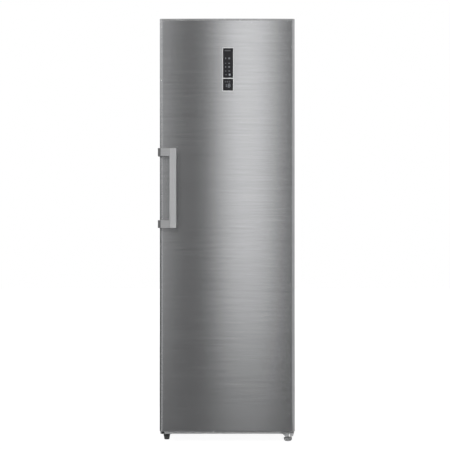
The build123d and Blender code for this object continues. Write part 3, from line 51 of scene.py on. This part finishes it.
# ================================================================ places, from the frame
skin_low, skin_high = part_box("door_skin")
gasket_low, gasket_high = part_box("door_gasket")
upper_low, upper_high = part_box("display_glass_upper")
lower_low, lower_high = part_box("display_glass_lower")
door_crown = skin_low.y
glass_x = (upper_low.x + upper_high.x) / 2
lower_mid = (lower_low.z + lower_high.z) / 2


# ================================================================ node helpers
class Nodes:
    """A node tree, with short calls that add nodes and links to it."""

    def __init__(self, tree):
        self.tree = tree

    def node(self, kind, **values):
        new = self.tree.nodes.new(kind)
        for key, value in values.items():
            setattr(new, key, value)
        return new

    def link(self, source, target):
        self.tree.links.new(source, target)

    def place(self):
        """Object coordinates."""
        return self.node("ShaderNodeTexCoord").outputs["Object"]

    def along(self, axis):
        """Object coordinate along X, Y or Z."""
        axes = self.node("ShaderNodeSeparateXYZ")
        self.link(self.place(), axes.inputs["Vector"])
        return axes.outputs[axis]

    def math(self, operation, *values):
        """Math node on inputs that are each a number or another node's output."""
        step = self.node("ShaderNodeMath", operation=operation)
        for number, value in enumerate(values):
            if isinstance(value, (int, float)):
                step.inputs[number].default_value = value
            else:
                self.link(value, step.inputs[number])
        return step.outputs["Value"]

    def ramp(self, value, start, end, low=0.0, high=1.0, shape="LINEAR"):
        """Goes from low to high while the value goes from start to end."""
        remap = self.node("ShaderNodeMapRange", interpolation_type=shape)
        remap.inputs["From Min"].default_value = start
        remap.inputs["From Max"].default_value = end
        remap.inputs["To Min"].default_value = low
        remap.inputs["To Max"].default_value = high
        self.link(value, remap.inputs["Value"])
        return remap.outputs["Result"]

    def mix(self, share, first, second, kind="RGBA"):
        """Goes from first to second with the share, each a colour or another node's output."""
        step = self.node("ShaderNodeMix", data_type=kind)
        self.link(share, step.inputs["Factor"])
        for socket, value in (("A", first), ("B", second)):
            if isinstance(value, (tuple, list)):
                step.inputs[socket].default_value = (*value, 1.0)
            else:
                self.link(value, step.inputs[socket])
        return step.outputs["Result"]

    def seen_directly(self):
        """1 for rays that show the background: from the camera, off a gloss or through glass."""
        path = self.node("ShaderNodeLightPath")
        rays = path.outputs["Is Camera Ray"]
        for name in ("Is Glossy Ray", "Is Transmission Ray"):
            rays = self.math("MAXIMUM", rays, path.outputs[name])
        return rays


# ================================================================ material helpers
# Noise keeps mostly between the first two of these, which spread() maps onto the range it is given.
NOISE_LOW = 0.3
NOISE_HIGH = 0.7
NOISE_MEAN = 0.5
BREAK = 0.4  # share by which broken() fades lines, and brings them out

# Sizes of patterns, in features per metre.
PAINT_CLOUDS = 6
PAINT_FLAKES = 900
PAINT_GLOSS = 14
ORANGE_PEEL = 420
MOULDED_CLOUDS = 9
MOULDED_GLOSS = 40
SPARK_GRAIN = 1500
CLEAR_GLOSS = 30
RUBBER_CLOUDS = 60
RUBBER_GLOSS = 200
RUBBER_GRAIN = 2600
FOAM_CELLS = 450
ZINC_SPANGLE = 140
ZINC_RIPPLE = 300
LIGHT_GUIDE = 500
FLOOR_CLOUDS = 3

# Grain of brushed metal, in features per metre along X, Y and Z. A pattern above FINE runs across
# the brushing.
LINES_ACROSS = (9.0, 9.0, 1600.0)
LINES_UPRIGHT = (1600.0, 1600.0, 9.0)
FINE = 100.0
QUARTER_TURN = 0.25  # turns the blur of reflections by 90 degrees, for lines that run across


class Finish(Nodes):
    """One material: a principled shader with procedural colour, roughness and relief."""

    def __init__(self, name, colour, roughness, metallic=0.0):
        self.material = bpy.data.materials.new(name)
        self.material.use_nodes = True
        super().__init__(self.material.node_tree)
        self.shader = self.tree.nodes["Principled BSDF"]
        self.colour = colour
        self.set("Base Color", (*colour, 1.0))
        self.set("Roughness", roughness)
        self.set("Metallic", metallic)

    def set(self, socket, value):
        self.shader.inputs[socket].default_value = value

    def feed(self, socket, source):
        self.link(source, self.shader.inputs[socket])

    def noise(self, scale, stretch=(1, 1, 1), detail=3.0):
        """Soft noise, with scale in features per metre, stretched so that it runs long one way."""
        mapping = self.node("ShaderNodeMapping", vector_type="POINT")
        mapping.inputs["Scale"].default_value = stretch
        self.link(self.place(), mapping.inputs["Vector"])
        texture = self.node("ShaderNodeTexNoise")
        texture.inputs["Scale"].default_value = scale
        texture.inputs["Detail"].default_value = detail
        self.link(mapping.outputs["Vector"], texture.inputs["Vector"])
        return texture.outputs["Fac"]

    def cells(self, scale):
        """Cells with one random grey each, with scale in cells per metre."""
        texture = self.node("ShaderNodeTexVoronoi", feature="F1")
        texture.inputs["Scale"].default_value = scale
        self.link(self.place(), texture.inputs["Vector"])
        grey = self.node("ShaderNodeSeparateColor")
        self.link(texture.outputs["Color"], grey.inputs["Color"])
        return grey.outputs["Red"]

    def spread(self, pattern, low, high):
        """The pattern's middle range mapped onto low to high."""
        return self.ramp(pattern, NOISE_LOW, NOISE_HIGH, low, high)

    def broken(self, lines, mask):
        """Lines that come and go with the mask."""
        swing = self.math("SUBTRACT", lines, NOISE_MEAN)
        return self.math("MULTIPLY_ADD", swing, self.spread(mask, 1 - BREAK, 1 + BREAK), NOISE_MEAN)

    def tint(self, pattern, amount):
        """Base colour that goes darker and lighter by this share with the pattern."""
        darker = [c * (1 - amount) for c in self.colour]
        lighter = [min(c * (1 + amount), 1) for c in self.colour]
        self.feed("Base Color", self.mix(self.spread(pattern, 0, 1), darker, lighter))

    def rough(self, pattern, low, high):
        self.feed("Roughness", self.spread(pattern, low, high))

    def relief(self, pattern, depth, strength):
        """Bump with its depth in metres."""
        self.bump = self.node("ShaderNodeBump")
        self.bump.inputs["Strength"].default_value = strength
        self.bump.inputs["Distance"].default_value = depth
        self.link(pattern, self.bump.inputs["Height"])
        self.feed("Normal", self.bump.outputs["Normal"])


def rescaled(grain, across, along):
    """The grain with its frequencies across and along the brushing multiplied by these."""
    return [across * g if g > FINE else along * g for g in grain]


def brushed(name, colour, roughness, grain, metallic=1.0, stretch=0.9, streak=0.05, haze=0.0):
    """Metal brushed along the stretch of grain, which blurs reflections across the lines.

    Broken scratches, coarser than the lines, differ in tint by streak and in metallic by haze.
    """
    steel = Finish(name, colour, roughness, metallic)
    lines = steel.noise(1.0, grain, detail=2.0)
    scratches = steel.noise(1.0, rescaled(grain, across=0.16, along=0.5), detail=2.0)
    runs = steel.noise(1.0, rescaled(grain, across=0.03, along=1.2), detail=1.0)
    streaks = steel.broken(scratches, runs)
    steel.tint(streaks, streak)
    steel.rough(lines, low=roughness - 0.03, high=roughness + 0.03)
    if haze:
        steel.feed("Metallic", steel.spread(streaks, metallic + haze, metallic - haze))
    steel.relief(lines, depth=0.004 * MM, strength=0.25)
    steel.set("Anisotropic", stretch)
    tangent = steel.node("ShaderNodeTangent", direction_type="RADIAL", axis="Z")
    steel.feed("Tangent", tangent.outputs["Tangent"])
    return steel


def paint(name, colour, roughness=0.38, metallic=0.0, flake=0.0):
    """Sheet metal paint with orange peel, a little unevenness in its gloss, and metal flakes."""
    coat = Finish(name, colour, roughness, metallic)
    specks = coat.noise(PAINT_FLAKES if flake else PAINT_CLOUDS, detail=2.0)
    coat.tint(specks, amount=flake or 0.02)
    coat.rough(coat.noise(PAINT_GLOSS), low=roughness - 0.05, high=roughness + 0.06)
    coat.relief(coat.noise(ORANGE_PEEL, detail=1.0), depth=0.02 * MM, strength=0.35)
    return coat


def moulded(name, colour, roughness=0.45, grain=SPARK_GRAIN, depth=0.03, mottle=0.04, uneven=0.06):
    """Moulded plastic with a fine spark-eroded grain, whose depth is in millimetres."""
    plastic = Finish(name, colour, roughness)
    plastic.tint(plastic.noise(MOULDED_CLOUDS), mottle)
    plastic.rough(plastic.noise(MOULDED_GLOSS), roughness - uneven, roughness + uneven)
    plastic.relief(plastic.noise(grain, detail=2.0), depth * MM, strength=0.4)
    return plastic


def clear(name, colour, roughness, wave, ior, amount=1.0):
    """See-through piece with slight moulding waves."""
    pane = Finish(name, colour, roughness)
    pane.set("Transmission Weight", amount)
    pane.set("IOR", ior)
    pane.rough(pane.noise(CLEAR_GLOSS), low=0.7 * roughness, high=1.4 * roughness)
    pane.relief(pane.noise(wave, detail=1.0), depth=0.05 * MM, strength=0.25)
    return pane


def rubber(name, colour, roughness=0.62):
    """Soft rubber or vinyl, dull and uneven."""
    skin = Finish(name, colour, roughness)
    skin.tint(skin.noise(RUBBER_CLOUDS), amount=0.07)
    skin.rough(skin.noise(RUBBER_GLOSS), low=roughness - 0.08, high=roughness + 0.08)
    skin.relief(skin.noise(RUBBER_GRAIN, detail=2.0), depth=0.03 * MM, strength=0.5)
    return skin


def foam(name, colour):
    """Rigid foam with its cells."""
    block = Finish(name, colour, roughness=0.85)
    block.tint(block.cells(FOAM_CELLS), amount=0.10)
    block.relief(block.cells(FOAM_CELLS), depth=0.3 * MM, strength=0.6)
    return block


def galvanised(name, colour):
    """Zinc-coated sheet with its spangle."""
    sheet = Finish(name, colour, roughness=0.42, metallic=0.85)
    spangle = sheet.cells(ZINC_SPANGLE)
    sheet.tint(spangle, amount=0.09)
    sheet.rough(spangle, low=0.36, high=0.50)
    sheet.relief(sheet.noise(ZINC_RIPPLE), depth=0.01 * MM, strength=0.3)
    return sheet


UNLIT = (0.02, 0.02, 0.02)


def glow(name, colour, strength):
    """Lit mark of the display, uneven as a light guide is."""
    mark = Finish(name, UNLIT, roughness=0.4)
    mark.set("Emission Color", (*colour, 1.0))
    uneven = mark.spread(mark.noise(LIGHT_GUIDE), low=0.85 * strength, high=1.1 * strength)
    mark.feed("Emission Strength", uneven)
    return mark


# The arc of the door's front, and the least cosine to it of a facet that belongs to the front.
BOW_RADIUS = 7.42
NEARLY_FRONT = 0.9995


def bowed_front(steel):
    """Gives the bowed front the normal of its true arc, where the facets only come near it."""
    arc = steel.node("ShaderNodeCombineXYZ")
    arc.inputs["Y"].default_value = -1.0
    steel.link(steel.math("DIVIDE", steel.along("X"), BOW_RADIUS), arc.inputs["X"])
    turned = steel.node("ShaderNodeVectorTransform", vector_type="NORMAL")
    turned.convert_from = "OBJECT"
    turned.convert_to = "WORLD"
    steel.link(arc.outputs["Vector"], turned.inputs["Vector"])
    true_normal = turned.outputs["Vector"]
    facet = steel.node("ShaderNodeNewGeometry")
    cosine = steel.node("ShaderNodeVectorMath", operation="DOT_PRODUCT")
    steel.link(facet.outputs["True Normal"], cosine.inputs[0])
    steel.link(true_normal, cosine.inputs[1])
    on_front = steel.math("GREATER_THAN", cosine.outputs["Value"], NEARLY_FRONT)
    normal = steel.mix(on_front, facet.outputs["Normal"], true_normal, kind="VECTOR")
    steel.link(normal, steel.bump.inputs["Normal"])


# Painted shade on the arms' clamps: its grey, how far in over the door the clamps reach, and half of
# the soft edge there. The grey stands in for the shade and dark reflection on the clamps' rounded
# outer ends.
CLAMP_PAINTED_SHADE = (0.25, 0.252, 0.256)
CLAMP_REACH = 7 * MM
CLAMP_BLEND = 2 * MM


def paint_clamp_shade(metal):
    """Paints shade on the arms' outer ends, which grip the door's side: a darker grey than the arms,
    which stands in for the shade and dark reflection there.
    """
    edge = skin_low.x + CLAMP_REACH
    arm = metal.ramp(metal.along("X"), edge - CLAMP_BLEND, edge + CLAMP_BLEND, shape="SMOOTHSTEP")
    arm_colour = metal.shader.inputs["Base Color"].links[0].from_socket
    metal.feed("Base Color", metal.mix(arm, CLAMP_PAINTED_SHADE, arm_colour))


# ================================================================ finishes, one per slot
door_steel = brushed(
    "door_steel",
    (0.56, 0.565, 0.575),
    0.20,
    LINES_ACROSS,
    metallic=0.90,
    stretch=0.95,
    streak=0.045,
    haze=0.012,
)
door_steel.set("Anisotropic Rotation", QUARTER_TURN)
bowed_front(door_steel)

display_glass = moulded(
    "display_glass", (0.008, 0.008, 0.010), 0.07, grain=200, depth=0.001, mottle=0.2
)
display_glass.set("Specular IOR Level", 0.32)

finishes = {
    "door_steel": door_steel,
    "cabinet_paint": paint("cabinet_paint", (0.27, 0.275, 0.285), 0.36, metallic=0.35, flake=0.05),
    "back_sheet": galvanised("back_sheet", (0.44, 0.45, 0.46)),
    "base_sheet": paint("base_sheet", (0.07, 0.072, 0.075), 0.5),
    "foam": foam("foam", (0.86, 0.80, 0.62)),
    "liner_plastic": moulded(
        "liner_plastic", (0.82, 0.825, 0.825), 0.34, grain=900, depth=0.002, mottle=0.012, uneven=0.015
    ),
    "cap_plastic": paint("cap_plastic", (0.50, 0.503, 0.51), 0.22, metallic=0.8, flake=0.04),
    "seal": rubber("seal", (0.40, 0.405, 0.41)),
    "clear_plastic": clear(
        "clear_plastic", (0.93, 0.95, 0.96), 0.12, wave=60, ior=1.49, amount=0.72
    ),
    "shelf_glass": clear("shelf_glass", (0.86, 0.95, 0.92), 0.02, wave=12, ior=1.52),
    "trim_plastic": moulded("trim_plastic", (0.60, 0.61, 0.62), 0.30, depth=0.01),
    "lens": moulded("lens", (0.88, 0.89, 0.90), 0.35, depth=0.05),
    "handle_metal": brushed(
        "handle_metal", (0.49, 0.493, 0.50), 0.36, LINES_UPRIGHT, metallic=0.5, stretch=0.5
    ),
    "screw_steel": brushed("screw_steel", (0.52, 0.52, 0.52), 0.34, LINES_UPRIGHT, stretch=0.3),
    "display_frame": moulded("display_frame", (0.68, 0.685, 0.69), 0.24, depth=0.004),
    "display_glass": display_glass,
    "circuit_board": moulded("circuit_board", (0.03, 0.16, 0.08), 0.4),
    "hinge_steel": paint("hinge_steel", (0.52, 0.523, 0.53), 0.34, metallic=0.3),
    "pin_steel": brushed("pin_steel", (0.55, 0.55, 0.55), 0.26, LINES_ACROSS, stretch=0.4),
    "bush_plastic": moulded("bush_plastic", (0.78, 0.78, 0.75), 0.4),
    "foot_plastic": moulded("foot_plastic", (0.018, 0.018, 0.019), 0.42),
    "foot_grey": moulded("foot_grey", (0.30, 0.303, 0.31), 0.42),
    "roller_plastic": moulded("roller_plastic", (0.05, 0.05, 0.052), 0.45),
    "compressor_paint": paint("compressor_paint", (0.018, 0.018, 0.02), 0.3),
    "mount_rubber": rubber("mount_rubber", (0.025, 0.025, 0.025)),
    "pan_plastic": moulded("pan_plastic", (0.09, 0.09, 0.095), 0.5),
    "copper": brushed("copper", (0.78, 0.38, 0.24), 0.30, LINES_ACROSS, stretch=0.2),
    "box_plastic": moulded("box_plastic", (0.72, 0.72, 0.69), 0.45),
    "cover_board": moulded("cover_board", (0.045, 0.045, 0.048), 0.55),
    "fin_aluminium": brushed("fin_aluminium", (0.78, 0.78, 0.79), 0.32, LINES_UPRIGHT, stretch=0.3),
    "fan_plastic": moulded("fan_plastic", (0.04, 0.04, 0.043), 0.4),
}

# Pieces whose finish differs from the rest of their slot.
arm_metal = brushed(
    "arm_metal", (0.58, 0.583, 0.59), 0.45, LINES_ACROSS, metallic=0.85, stretch=0.3
)
arm_metal.set("Anisotropic Rotation", QUARTER_TURN)
# The clamps get a painted shade, darker than the rest of the arms.
paint_clamp_shade(arm_metal)
rail_paint = paint("rail_paint", (0.66, 0.663, 0.668), 0.38, metallic=0.1, flake=0.02)
own_finish = {
    "handle_bracket_upper": arm_metal,
    "handle_bracket_lower": arm_metal,
    "front_rail": rail_paint,
}

for part in frame["record"]["subparts"]:
    finish = own_finish.get(part["node"], finishes[part["material_slot"]])
    mesh = nodes[part["node"]].data
    mesh.materials.clear()
    mesh.materials.append(finish.material)


# ================================================================ mesh helpers
def add_mesh(name, points, faces, material, smooth=0.0):
    """New object from points in metres, with edges flatter than smooth degrees rounded off."""
    mesh = bpy.data.meshes.new(name)
    mesh.from_pydata([Vector(p) for p in points], [], faces)
    mesh.update()
    piece = bpy.data.objects.new(name, mesh)
    bpy.context.scene.collection.objects.link(piece)
    mesh.materials.append(material)
    if smooth:
        mesh.shade_smooth()
        mesh.set_sharp_from_angle(angle=radians(smooth))
    return piece


def sweep_ring(profile, half_wide, low, high, plane):
    """Points and faces of a profile of (inset, depth) carried round an upright rectangle."""
    points = []
    for side, top in ((-1, False), (1, False), (1, True), (-1, True)):
        for inset, depth in profile:
            height = high - inset if top else low + inset
            points.append((side * (half_wide - inset), plane + depth, height))
    count = len(profile)
    faces = []
    for corner in range(4):
        start = corner * count
        after = (corner + 1) % 4 * count
        for i in range(count):
            j = (i + 1) % count
            faces.append((start + i, start + j, after + j, after + i))
    return points, faces


# ================================================================ door seal
# Half of the seal's section, as (inset from its outer edge, depth behind the door's liner) in
# millimetres: two pleats with the magnet's bag on them, and the dart that sits in the door's groove.
SEAL_BAND = 22.0
PLEATS = [(2.0, 0.0), (0.3, 2.3), (2.6, 4.6), (0.3, 6.9), (1.2, 8.3), (1.2, 11.0), (2.6, 12.3)]
DART = [(12.8, 0.0), (12.8, -2.0), (13.0, -3.4), (11.6, -6.8)]
DART_ROOM = 7 * MM
SEAL_SMOOTH = 25


def other_half(half):
    """The same outline mirrored to the seal's other side."""
    return [(SEAL_BAND - inset, depth) for inset, depth in reversed(half)]


seal_section = PLEATS + other_half(PLEATS) + DART + other_half(DART)
seal_points, seal_faces = sweep_ring(
    [(inset * MM, depth * MM) for inset, depth in seal_section],
    half_wide=(gasket_high.x - gasket_low.x) / 2,
    low=gasket_low.z,
    high=gasket_high.z,
    plane=gasket_low.y + DART_ROOM,
)
seal = add_mesh("seal_bellows", seal_points, seal_faces, finishes["seal"].material, SEAL_SMOOTH)
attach(seal, "door")
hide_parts("door_gasket")

# ================================================================ display marks
# A mark is (right of the panes' middle, below the place it is measured from, width, height), in
# millimetres. Marks of the upper pane are measured from its top, those of the lower from its middle.
MARK_LIFT = 0.06 * MM
CORNERS = ((-0.5, -0.5), (0.5, -0.5), (0.5, 0.5), (-0.5, 0.5))

bright = glow("mark_bright", (0.86, 0.92, 1.0), 0.34)
dim = glow("mark_dim", (0.86, 0.91, 1.0), 0.16)
faint = glow("mark_faint", (0.86, 0.91, 1.0), 0.06)


def add_marks(name, marks, finish, origin):
    """One piece of flat lit patches just in front of the panes, measured down from origin."""
    points = []
    faces = []
    for across, down, wide, tall in marks:
        first = len(points)
        for right, up in CORNERS:
            x = glass_x + (across + right * wide) * MM
            z = origin + (up * tall - down) * MM
            points.append((x, upper_low.y - MARK_LIFT, z))
        faces.append((first, first + 1, first + 2, first + 3))
    piece = add_mesh(name, points, faces, finish.material)
    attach(piece, "door")
    return piece


HEAD = (-2, 11, 26, 5)
KEY_LEFT = (-8.5, 117, 8, 5)
KEY_RIGHT = (7.0, 117, 7, 8)
MIDDLE_ICON = (-2, -13, 6, 7)
ICON_PITCH = 9

# Rows of the upper pane as (down, height), each with two bars, which are (across, width).
ROWS = ((45, 7.0), (67, 3.6), (83, 6.0), (101, 3.6))
SHORT_BAR = (-10.5, 3.6)
LONG_BAR = (5.0, 7.5)


def rows():
    """Marks of the upper pane's rows."""
    bars = (SHORT_BAR, LONG_BAR)
    return [(across, down, wide, tall) for down, tall in ROWS for across, wide in bars]


def icons():
    """Three marks side by side on the lower pane."""
    across, down, wide, tall = MIDDLE_ICON
    return [(across + ICON_PITCH * step, down, wide, tall) for step in (-1, 0, 1)]


add_marks("mark_head", [HEAD], faint, upper_high.z)
add_marks("mark_rows", rows(), dim, upper_high.z)
add_marks("mark_key_left", [KEY_LEFT], faint, upper_high.z)
add_marks("mark_key_right", [KEY_RIGHT], bright, upper_high.z)
add_marks("mark_icons", icons(), faint, lower_mid)

# Seven strokes of a figure: (across, up, lies flat), in shares of its width and height.
STROKES = {
    "top": (0, 0.5, True),
    "middle": (0, 0, True),
    "bottom": (0, -0.5, True),
    "upper_left": (-0.5, 0.25, False),
    "upper_right": (0.5, 0.25, False),
    "lower_left": (-0.5, -0.25, False),
    "lower_right": (0.5, -0.25, False),
}
ONE = ("upper_right", "lower_right")
EIGHT = tuple(STROKES)
ONE_AT = -12.0
EIGHT_AT = 4.5
FIGURE_WIDE = 8.5
FIGURE_TALL = 14.0
FIGURE_DOWN = 4.0
STROKE = 2.0


def figure(centre, strokes):
    """Marks of one seven-stroke figure."""
    marks = []
    for name in strokes:
        across, up, flat = STROKES[name]
        wide = FIGURE_WIDE - STROKE if flat else STROKE
        tall = STROKE if flat else FIGURE_TALL / 2 - STROKE
        marks.append((centre + across * FIGURE_WIDE, FIGURE_DOWN - up * FIGURE_TALL, wide, tall))
    return marks


add_marks("mark_figure", figure(ONE_AT, ONE) + figure(EIGHT_AT, EIGHT), bright, lower_mid)

# ================================================================ studio: world and floor
WHITE = 1.0
WORLD_FILL = 0.44
world = bpy.data.worlds.new("studio")
bpy.context.scene.world = world
world.use_nodes = True
sky = Nodes(world.node_tree)
background = sky.tree.nodes["Background"]
background.inputs["Color"].default_value = (1, 1, 1, 1)
level = sky.ramp(sky.seen_directly(), 0, 1, WORLD_FILL, WHITE)
sky.link(level, background.inputs["Strength"])

LAYER = 1 * MM


def add_stage(name, corners, material):
    """One-faced backdrop piece."""
    piece = add_mesh(name, corners, [(0, 1, 2, 3)], material)
    return piece


def add_lying(name, corners, material, layer):
    """Stage piece that lies this many layers above the ground, with its corners as (x, y)."""
    return add_stage(name, [(x, y, layer * LAYER) for x, y in corners], material)


def between(left, front, right, back):
    """Corners of a rectangle on the ground, as (x, y)."""
    return [(left, front), (right, front), (right, back), (left, back)]


# The floor is pale to the light that it throws back. Seen directly, it is mostly its own white,
# which with a little of the lamps' light comes to the white of the background, and it keeps a soft
# shadow.
FLOOR_REACH = 14.0
FLOOR_PALE = (0.78, 0.78, 0.78)
FLOOR_SHADED = (0.13, 0.13, 0.13)
FLOOR_WHITE = 0.94
floor_finish = Finish("floor", FLOOR_PALE, roughness=0.9)
floor_finish.rough(floor_finish.noise(FLOOR_CLOUDS), low=0.86, high=0.94)
floor_finish.set("Emission Color", (1, 1, 1, 1))
direct = floor_finish.seen_directly()
floor_finish.feed("Base Color", floor_finish.mix(direct, FLOOR_PALE, FLOOR_SHADED))
floor_finish.feed("Emission Strength", floor_finish.math("MULTIPLY", direct, FLOOR_WHITE))
floor_corners = between(-FLOOR_REACH, -FLOOR_REACH, FLOOR_REACH, FLOOR_REACH)
add_lying("floor", floor_corners, floor_finish.material, layer=0)


# ================================================================ studio: cards seen only in gloss
class Emitter(Nodes):
    """A card's material, which only gives light."""

    def __init__(self, name, strength=1.0):
        self.material = bpy.data.materials.new(name)
        self.material.use_nodes = True
        super().__init__(self.material.node_tree)
        self.tree.nodes.clear()
        out = self.node("ShaderNodeOutputMaterial")
        shine = self.node("ShaderNodeEmission")
        self.strength = shine.inputs["Strength"]
        self.strength.default_value = strength
        self.link(shine.outputs["Emission"], out.inputs["Surface"])


# Scrim behind the camera: a dark wall with a tall lit patch, and lit walls beyond a dark cloth.
SCRIM_Y = -8.3
SCRIM_HALF = 6.0
SCRIM_TOP = 14.0
SCRIM_DARK = 0.07
PATCH_X = 0.40
PATCH_REACH_LEFT = 0.62
PATCH_REACH_RIGHT = 0.655
PATCH_LIGHT = 1.06
BELL_POWER = 3.2


def lit_patch(scrim, across):
    """Bell shape across the scrim with a broad crown, and its own width to each side."""
    to_left = scrim.math("DIVIDE", scrim.math("SUBTRACT", PATCH_X, across), PATCH_REACH_LEFT)
    to_right = scrim.math("DIVIDE", scrim.math("SUBTRACT", across, PATCH_X), PATCH_REACH_RIGHT)
    away = scrim.math("MAXIMUM", to_left, to_right)
    power = scrim.math("POWER", away, BELL_POWER)
    bell = scrim.math("EXPONENT", scrim.math("MULTIPLY", power, -1.0))
    return scrim.math("MULTIPLY", bell, PATCH_LIGHT)


def side_wall(scrim, across, start, full, light):
    """Lit wall beyond the dark cloth: rises softly from start to full across the scrim."""
    return scrim.ramp(across, start, full, high=light, shape="SMOOTHSTEP")


def scrim_finish():
    """The scrim's light, which varies across it."""
    scrim = Emitter("scrim")
    across = scrim.along("X")
    patch = lit_patch(scrim, across)
    left = side_wall(scrim, across, start=-0.7, full=-1.9, light=0.64)
    right = side_wall(scrim, across, start=1.6, full=3.2, light=0.50)
    light = scrim.math("ADD", patch, scrim.math("ADD", left, right))
    scrim.link(scrim.math("ADD", light, SCRIM_DARK), scrim.strength)
    return scrim.material


def add_upright(name, start, end, material):
    """Stage piece that stands on the ground from start to end, each (x, y), up to SCRIM_TOP."""
    corners = [(*start, 0), (*end, 0), (*end, SCRIM_TOP), (*start, SCRIM_TOP)]
    return add_stage(name, corners, material)


# Side cards, brighter towards the top.
CARD_BACK = 4.5
CARD_FADE_TOP = 3.0


def side_card(name, side, fade_from, low, high):
    """Upright card whose light goes from low at the height fade_from to high at CARD_FADE_TOP."""
    card = Emitter(name)
    card.link(card.ramp(card.along("Z"), fade_from, CARD_FADE_TOP, low, high), card.strength)
    x = side * SCRIM_HALF
    return add_upright(name, (x, SCRIM_Y), (x, CARD_BACK), card.material)


# Cards on the floor. In front of the door it is mid grey to both sides of a dark cloth that fans out
# to the scrim's foot, where the scrim turns forward. Beside the door it is dark at the left and grey
# at the right. FLOOR_CARDS gives each card's name, strength, layer and corners.
CLOTH_BACK = -0.26
CLOTH_BESIDE = 0.34
CLOTH_LEFT = 1.35
CLOTH_RIGHT = 2.6
SCRIM_FOOT = -6.2
BESIDE_DOOR = 60 * MM
beside = skin_high.x + BESIDE_DOOR
cloth_corners = [
    (-CLOTH_LEFT, SCRIM_Y),
    (CLOTH_RIGHT, SCRIM_Y),
    (CLOTH_BESIDE, CLOTH_BACK),
    (-CLOTH_BESIDE, CLOTH_BACK),
]
cloth_left_corners = [
    (-beside, CLOTH_BACK),
    (-SCRIM_HALF, CLOTH_BACK - SCRIM_HALF),
    (-SCRIM_HALF, CARD_BACK),
    (-beside, CARD_BACK),
]
FLOOR_CARDS = (
    ("floor_card", 0.50, 1, between(-SCRIM_HALF, SCRIM_Y, SCRIM_HALF, CLOTH_BACK)),
    ("cloth", 0.065, 2, cloth_corners),
    ("cloth_left", 0.06, 3, cloth_left_corners),
    ("cloth_right", 0.40, 3, between(beside, CLOTH_BACK, SCRIM_HALF, CARD_BACK)),
)

scrim_material = scrim_finish()
cards = [
    add_upright("scrim", (-SCRIM_HALF, SCRIM_Y), (SCRIM_HALF, SCRIM_Y), scrim_material),
    side_card("card_left", side=-1, fade_from=1.2, low=0.02, high=0.82),
    side_card("card_right", side=1, fade_from=0.0, low=0.40, high=0.75),
]
for name, strength, layer, corners in FLOOR_CARDS:
    cards.append(add_lying(name, corners, Emitter(name, strength).material, layer))
foot_corners = between(-CLOTH_LEFT, SCRIM_Y, CLOTH_RIGHT, SCRIM_FOOT)
cards.append(add_lying("scrim_foot", foot_corners, scrim_material, layer=4))

for card in cards:
    card.visible_camera = False
    card.visible_diffuse = False
    card.visible_transmission = False
    card.visible_shadow = False
    card.visible_volume_scatter = False


# ================================================================ studio: lamps
def lamp(name, place, target, size, power):
    """Square lamp that gives no highlight of its own, with its size in metres and power in watts."""
    data = bpy.data.lights.new(name, "AREA")
    data.shape = "SQUARE"
    data.size = size
    data.energy = power
    light = bpy.data.objects.new(name, data)
    bpy.context.scene.collection.objects.link(light)
    light.location = place
    light.rotation_euler = (Vector(target) - Vector(place)).to_track_quat("-Z", "Y").to_euler()
    light.visible_camera = False
    light.visible_glossy = False
    return light


lamp("key", place=(-3.0, -4.8, 3.2), target=(0, -0.3, 1.0), size=0.7, power=160)
lamp("low_fill", place=(1.0, -5.5, 0.35), target=(0, -0.3, 0.2), size=1.0, power=45)

# ================================================================ camera
# It looks straight ahead, and its frame spans FRAME_WIDE_AT_DOOR metres at the front of the door.
DOOR_DISTANCE = 6.0
FRAME_WIDE_AT_DOOR = 1.983
EYE_HEIGHT = 0.960
SIDE_STEP = -0.0099
SENSOR_WIDE = 36.0
camera_data = bpy.data.cameras.new("camera")
camera_data.sensor_width = SENSOR_WIDE
camera_data.lens = SENSOR_WIDE * DOOR_DISTANCE / FRAME_WIDE_AT_DOOR
camera = bpy.data.objects.new("camera", camera_data)
bpy.context.scene.collection.objects.link(camera)
camera.location = (SIDE_STEP, door_crown - DOOR_DISTANCE, EYE_HEIGHT)
camera.rotation_euler = (radians(90), 0, 0)
bpy.context.scene.camera = camera
bpy.context.scene.view_settings.view_transform = "Standard"
